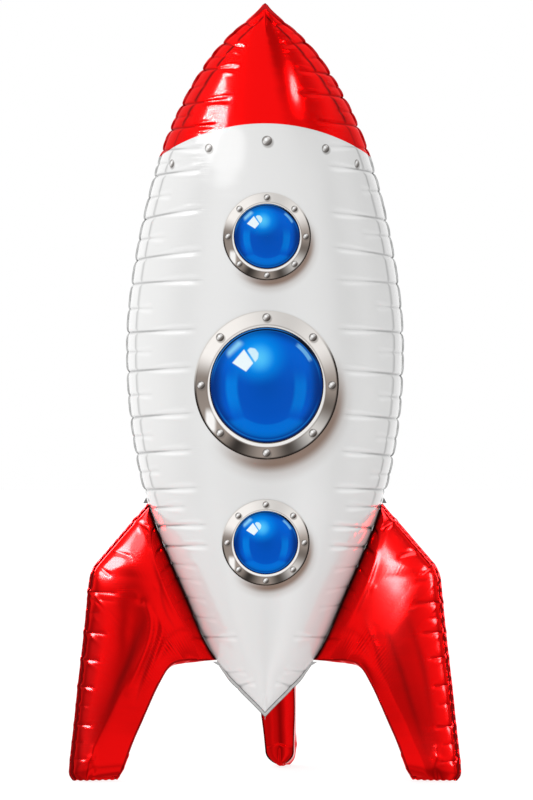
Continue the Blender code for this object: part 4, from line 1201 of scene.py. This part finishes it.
def add_print(kind, label, centre, radii, from_share, rows, material):
    turn = np.linspace(0, 2 * math.pi, DISC_STEPS + 1)[:-1]
    share = np.linspace(from_share, 1.0, rows)[:, None]
    x = centre[0] + share * radii[0] * np.cos(turn)
    z = centre[1] + share * radii[1] * np.sin(turn)
    obj = grid_object(f"porthole_{kind}_print_{label}", front_point(x, z), closed=True)
    piece(obj, material, f"printed_{kind}", f"porthole_{kind}_{label}")


for label, (cx, cy, rx, rz, gx, gz, *_) in RINGS.items():
    add_print("ring", label, (cx, cy), (rx, rz), gx / rx, 14, make_ring(label))
    add_print("glass", label, (cx, cy), (gx, gz), GLASS_MIDDLE, 40, make_glass(label))


# World, floor and camera


def make_world():
    world = bpy.data.worlds.new("studio")
    bpy.context.scene.world = world
    world.use_nodes = True
    tree = world.node_tree
    Sum.tree = tree
    background = tree.nodes["Background"]
    x, y, z, _ = position("Generated")
    azimuth = op("ARCTAN2", x, -y) * (180 / math.pi)  # 0 is the camera's side, and + is its right
    elevation = op("ARCSINE", z) * (180 / math.pi)
    away = op("ABSOLUTE", azimuth)

    def band(centre, width):
        d = (away - centre) / width
        return op("EXPONENT", d * d * -1.0)

    # what the film reflects: white above, dimmer patches, and two lit patches low down
    low = ramp(elevation, 40, 12)
    glossy = 1.0 - low * 0.08 - band(0, 19) * 0.48 * low - band(74, 18) * ramp(elevation, 56, 24) * 0.44
    for rise, fall, height, share in (
        ((25, 60), (132, 100), (32, 52), 0.44),
        ((88, 116), (160, 140), (40, 20), 0.26),
        ((20, 60), (150, 120), (50, 64), 0.22),
    ):
        glossy = glossy * (1.0 - ramp(azimuth, *rise) * ramp(azimuth, *fall) * ramp(elevation, *height) * share)
    glossy = glossy * (1.0 - ramp(elevation, -4, -30) * 0.40)
    under = ramp(elevation, -20, -34)
    for rise, fall, share in (((22, 40), (90, 66), 0.28), ((-38, -56), (-104, -80), 0.18)):
        glossy = glossy + under * ramp(azimuth, *rise) * ramp(azimuth, *fall) * share
    glossy = glossy + ramp(away, 141, 146) * 0.12
    # two softboxes at the left: a panel and an oval
    panel = ramp(azimuth, -108, -100) * ramp(azimuth, -62, -70) * ramp(elevation, 30, 40) * ramp(elevation, 60, 50)
    glossy = glossy + panel * 2.2
    da, de = (azimuth + 50) / 26, (elevation - 44) / 11
    glossy = glossy + ramp(da * da + de * de, 1.3, 0.4) * 1.1
    # what lights it
    diffuse = 0.62 - azimuth * 0.0036 + ramp(elevation, -20, 70) * 0.46 - ramp(azimuth, 50, 110) * 0.06
    rays = tree.nodes.new("ShaderNodeLightPath")
    seen = Sum(rays.outputs["Is Camera Ray"])
    shiny = Sum(rays.outputs["Is Glossy Ray"])
    level = diffuse + (glossy - diffuse) * shiny
    level = level * (1.0 - seen) + seen
    tree.links.new(level.socket, background.inputs["Strength"])
    background.inputs["Color"].default_value = (1, 1, 1, 1)


FLOOR_HALF, FLOOR_Z = 30.0, -0.0008


def make_floor():
    material = bpy.data.materials.new("floor_white")
    material.use_nodes = True
    shader = material.node_tree.nodes["Principled BSDF"]
    shader.inputs["Base Color"].default_value = (0.25, 0.25, 0.25, 1)
    shader.inputs["Roughness"].default_value = 0.9
    shader.inputs["Emission Color"].default_value = (1, 1, 1, 1)
    shader.inputs["Emission Strength"].default_value = 0.82
    corners = np.array([(x * FLOOR_HALF, y * FLOOR_HALF, FLOOR_Z) for x, y in ((-1, -1), (1, -1), (1, 1), (-1, 1))])
    floor = mesh_object("studio_floor", corners, np.array([[0, 1, 2, 3]]))
    floor.data.materials.append(material)
    floor.visible_glossy = False


# The red film's softboxes by the film that each lights: name, azimuth, elevation, width and height in degrees,
# radiance and shape
SOFTBOXES = {
    "nose_film": [
        ("softbox_left", -84, 46, 26, 19, 140.0, "RECTANGLE"),
        ("softbox_right", 70, 62, 8, 6, 105.0, "ELLIPSE"),
    ],
    "fin_left": [
        ("softbox_knee_left", -52, 39, 46, 26, 165.0, "ELLIPSE"),
        ("softbox_brow_left", -8, 46, 30, 18, 34.0, "ELLIPSE"),
        ("softbox_top_left", -40, 68, 50, 22, 26.0, "ELLIPSE"),
    ],
    "fin_right": [
        ("softbox_knee_right", 58, 20, 14, 26, 90.0, "ELLIPSE"),
        ("softbox_brow_right", -1, 24, 13, 13, 170.0, "ELLIPSE"),
        ("softbox_low_right", -2, 15, 6, 6, 150.0, "ELLIPSE"),
        ("softbox_top_right", 40, 66, 46, 22, 22.0, "ELLIPSE"),
    ],
}
SOFTBOX_DISTANCE = 7.0
SOFTBOX_TARGET = Vector((0, AXIS_Y, 0.8))


def softbox(name, azimuth, elevation, width, height, radiance, shape, receivers):
    """A soft light far out in a direction, seen only in the pieces of the receivers' collection."""
    lamp = bpy.data.lights.new(name, "AREA")
    lamp.shape = shape
    lamp.size = 2 * SOFTBOX_DISTANCE * math.tan(math.radians(width / 2))
    lamp.size_y = 2 * SOFTBOX_DISTANCE * math.tan(math.radians(height / 2))
    area = lamp.size * lamp.size_y * (math.pi / 4 if shape == "ELLIPSE" else 1)
    lamp.energy = math.pi * area * radiance
    lamp.cycles.max_bounces = 0
    obj = bpy.data.objects.new(name, lamp)
    a, e = math.radians(azimuth), math.radians(elevation)
    away = Vector((math.sin(a) * math.cos(e), -math.cos(a) * math.cos(e), math.sin(e)))
    obj.location = SOFTBOX_TARGET + away * SOFTBOX_DISTANCE
    obj.rotation_euler = away.to_track_quat("Z", "Y").to_euler()
    obj.visible_camera = False
    obj.light_linking.receiver_collection = receivers
    bpy.context.scene.collection.objects.link(obj)


def light_red_film():
    for start, boxes in SOFTBOXES.items():
        receivers = bpy.data.collections.new(f"{start}_receivers")
        for obj in bpy.data.objects:
            if obj.name.startswith(start) and "film" in obj.name:
                receivers.objects.link(obj)
        for box in boxes:
            softbox(*box, receivers)


make_world()
make_floor()
light_red_film()
camera = bpy.data.objects.new("camera", bpy.data.cameras.new("camera"))
bpy.context.scene.collection.objects.link(camera)
camera.data.sensor_width = SENSOR
camera.data.lens = SENSOR * CAMERA_DISTANCE / (PHOTO_HEIGHT * PIXEL)
camera.location = (CAMERA_X, AXIS_Y - CAMERA_DISTANCE, CAMERA_Z)
camera.rotation_euler = (math.radians(90), 0, 0)
camera.data.clip_end = 100
bpy.context.scene.camera = camera
bpy.context.scene.view_settings.view_transform = "Standard"
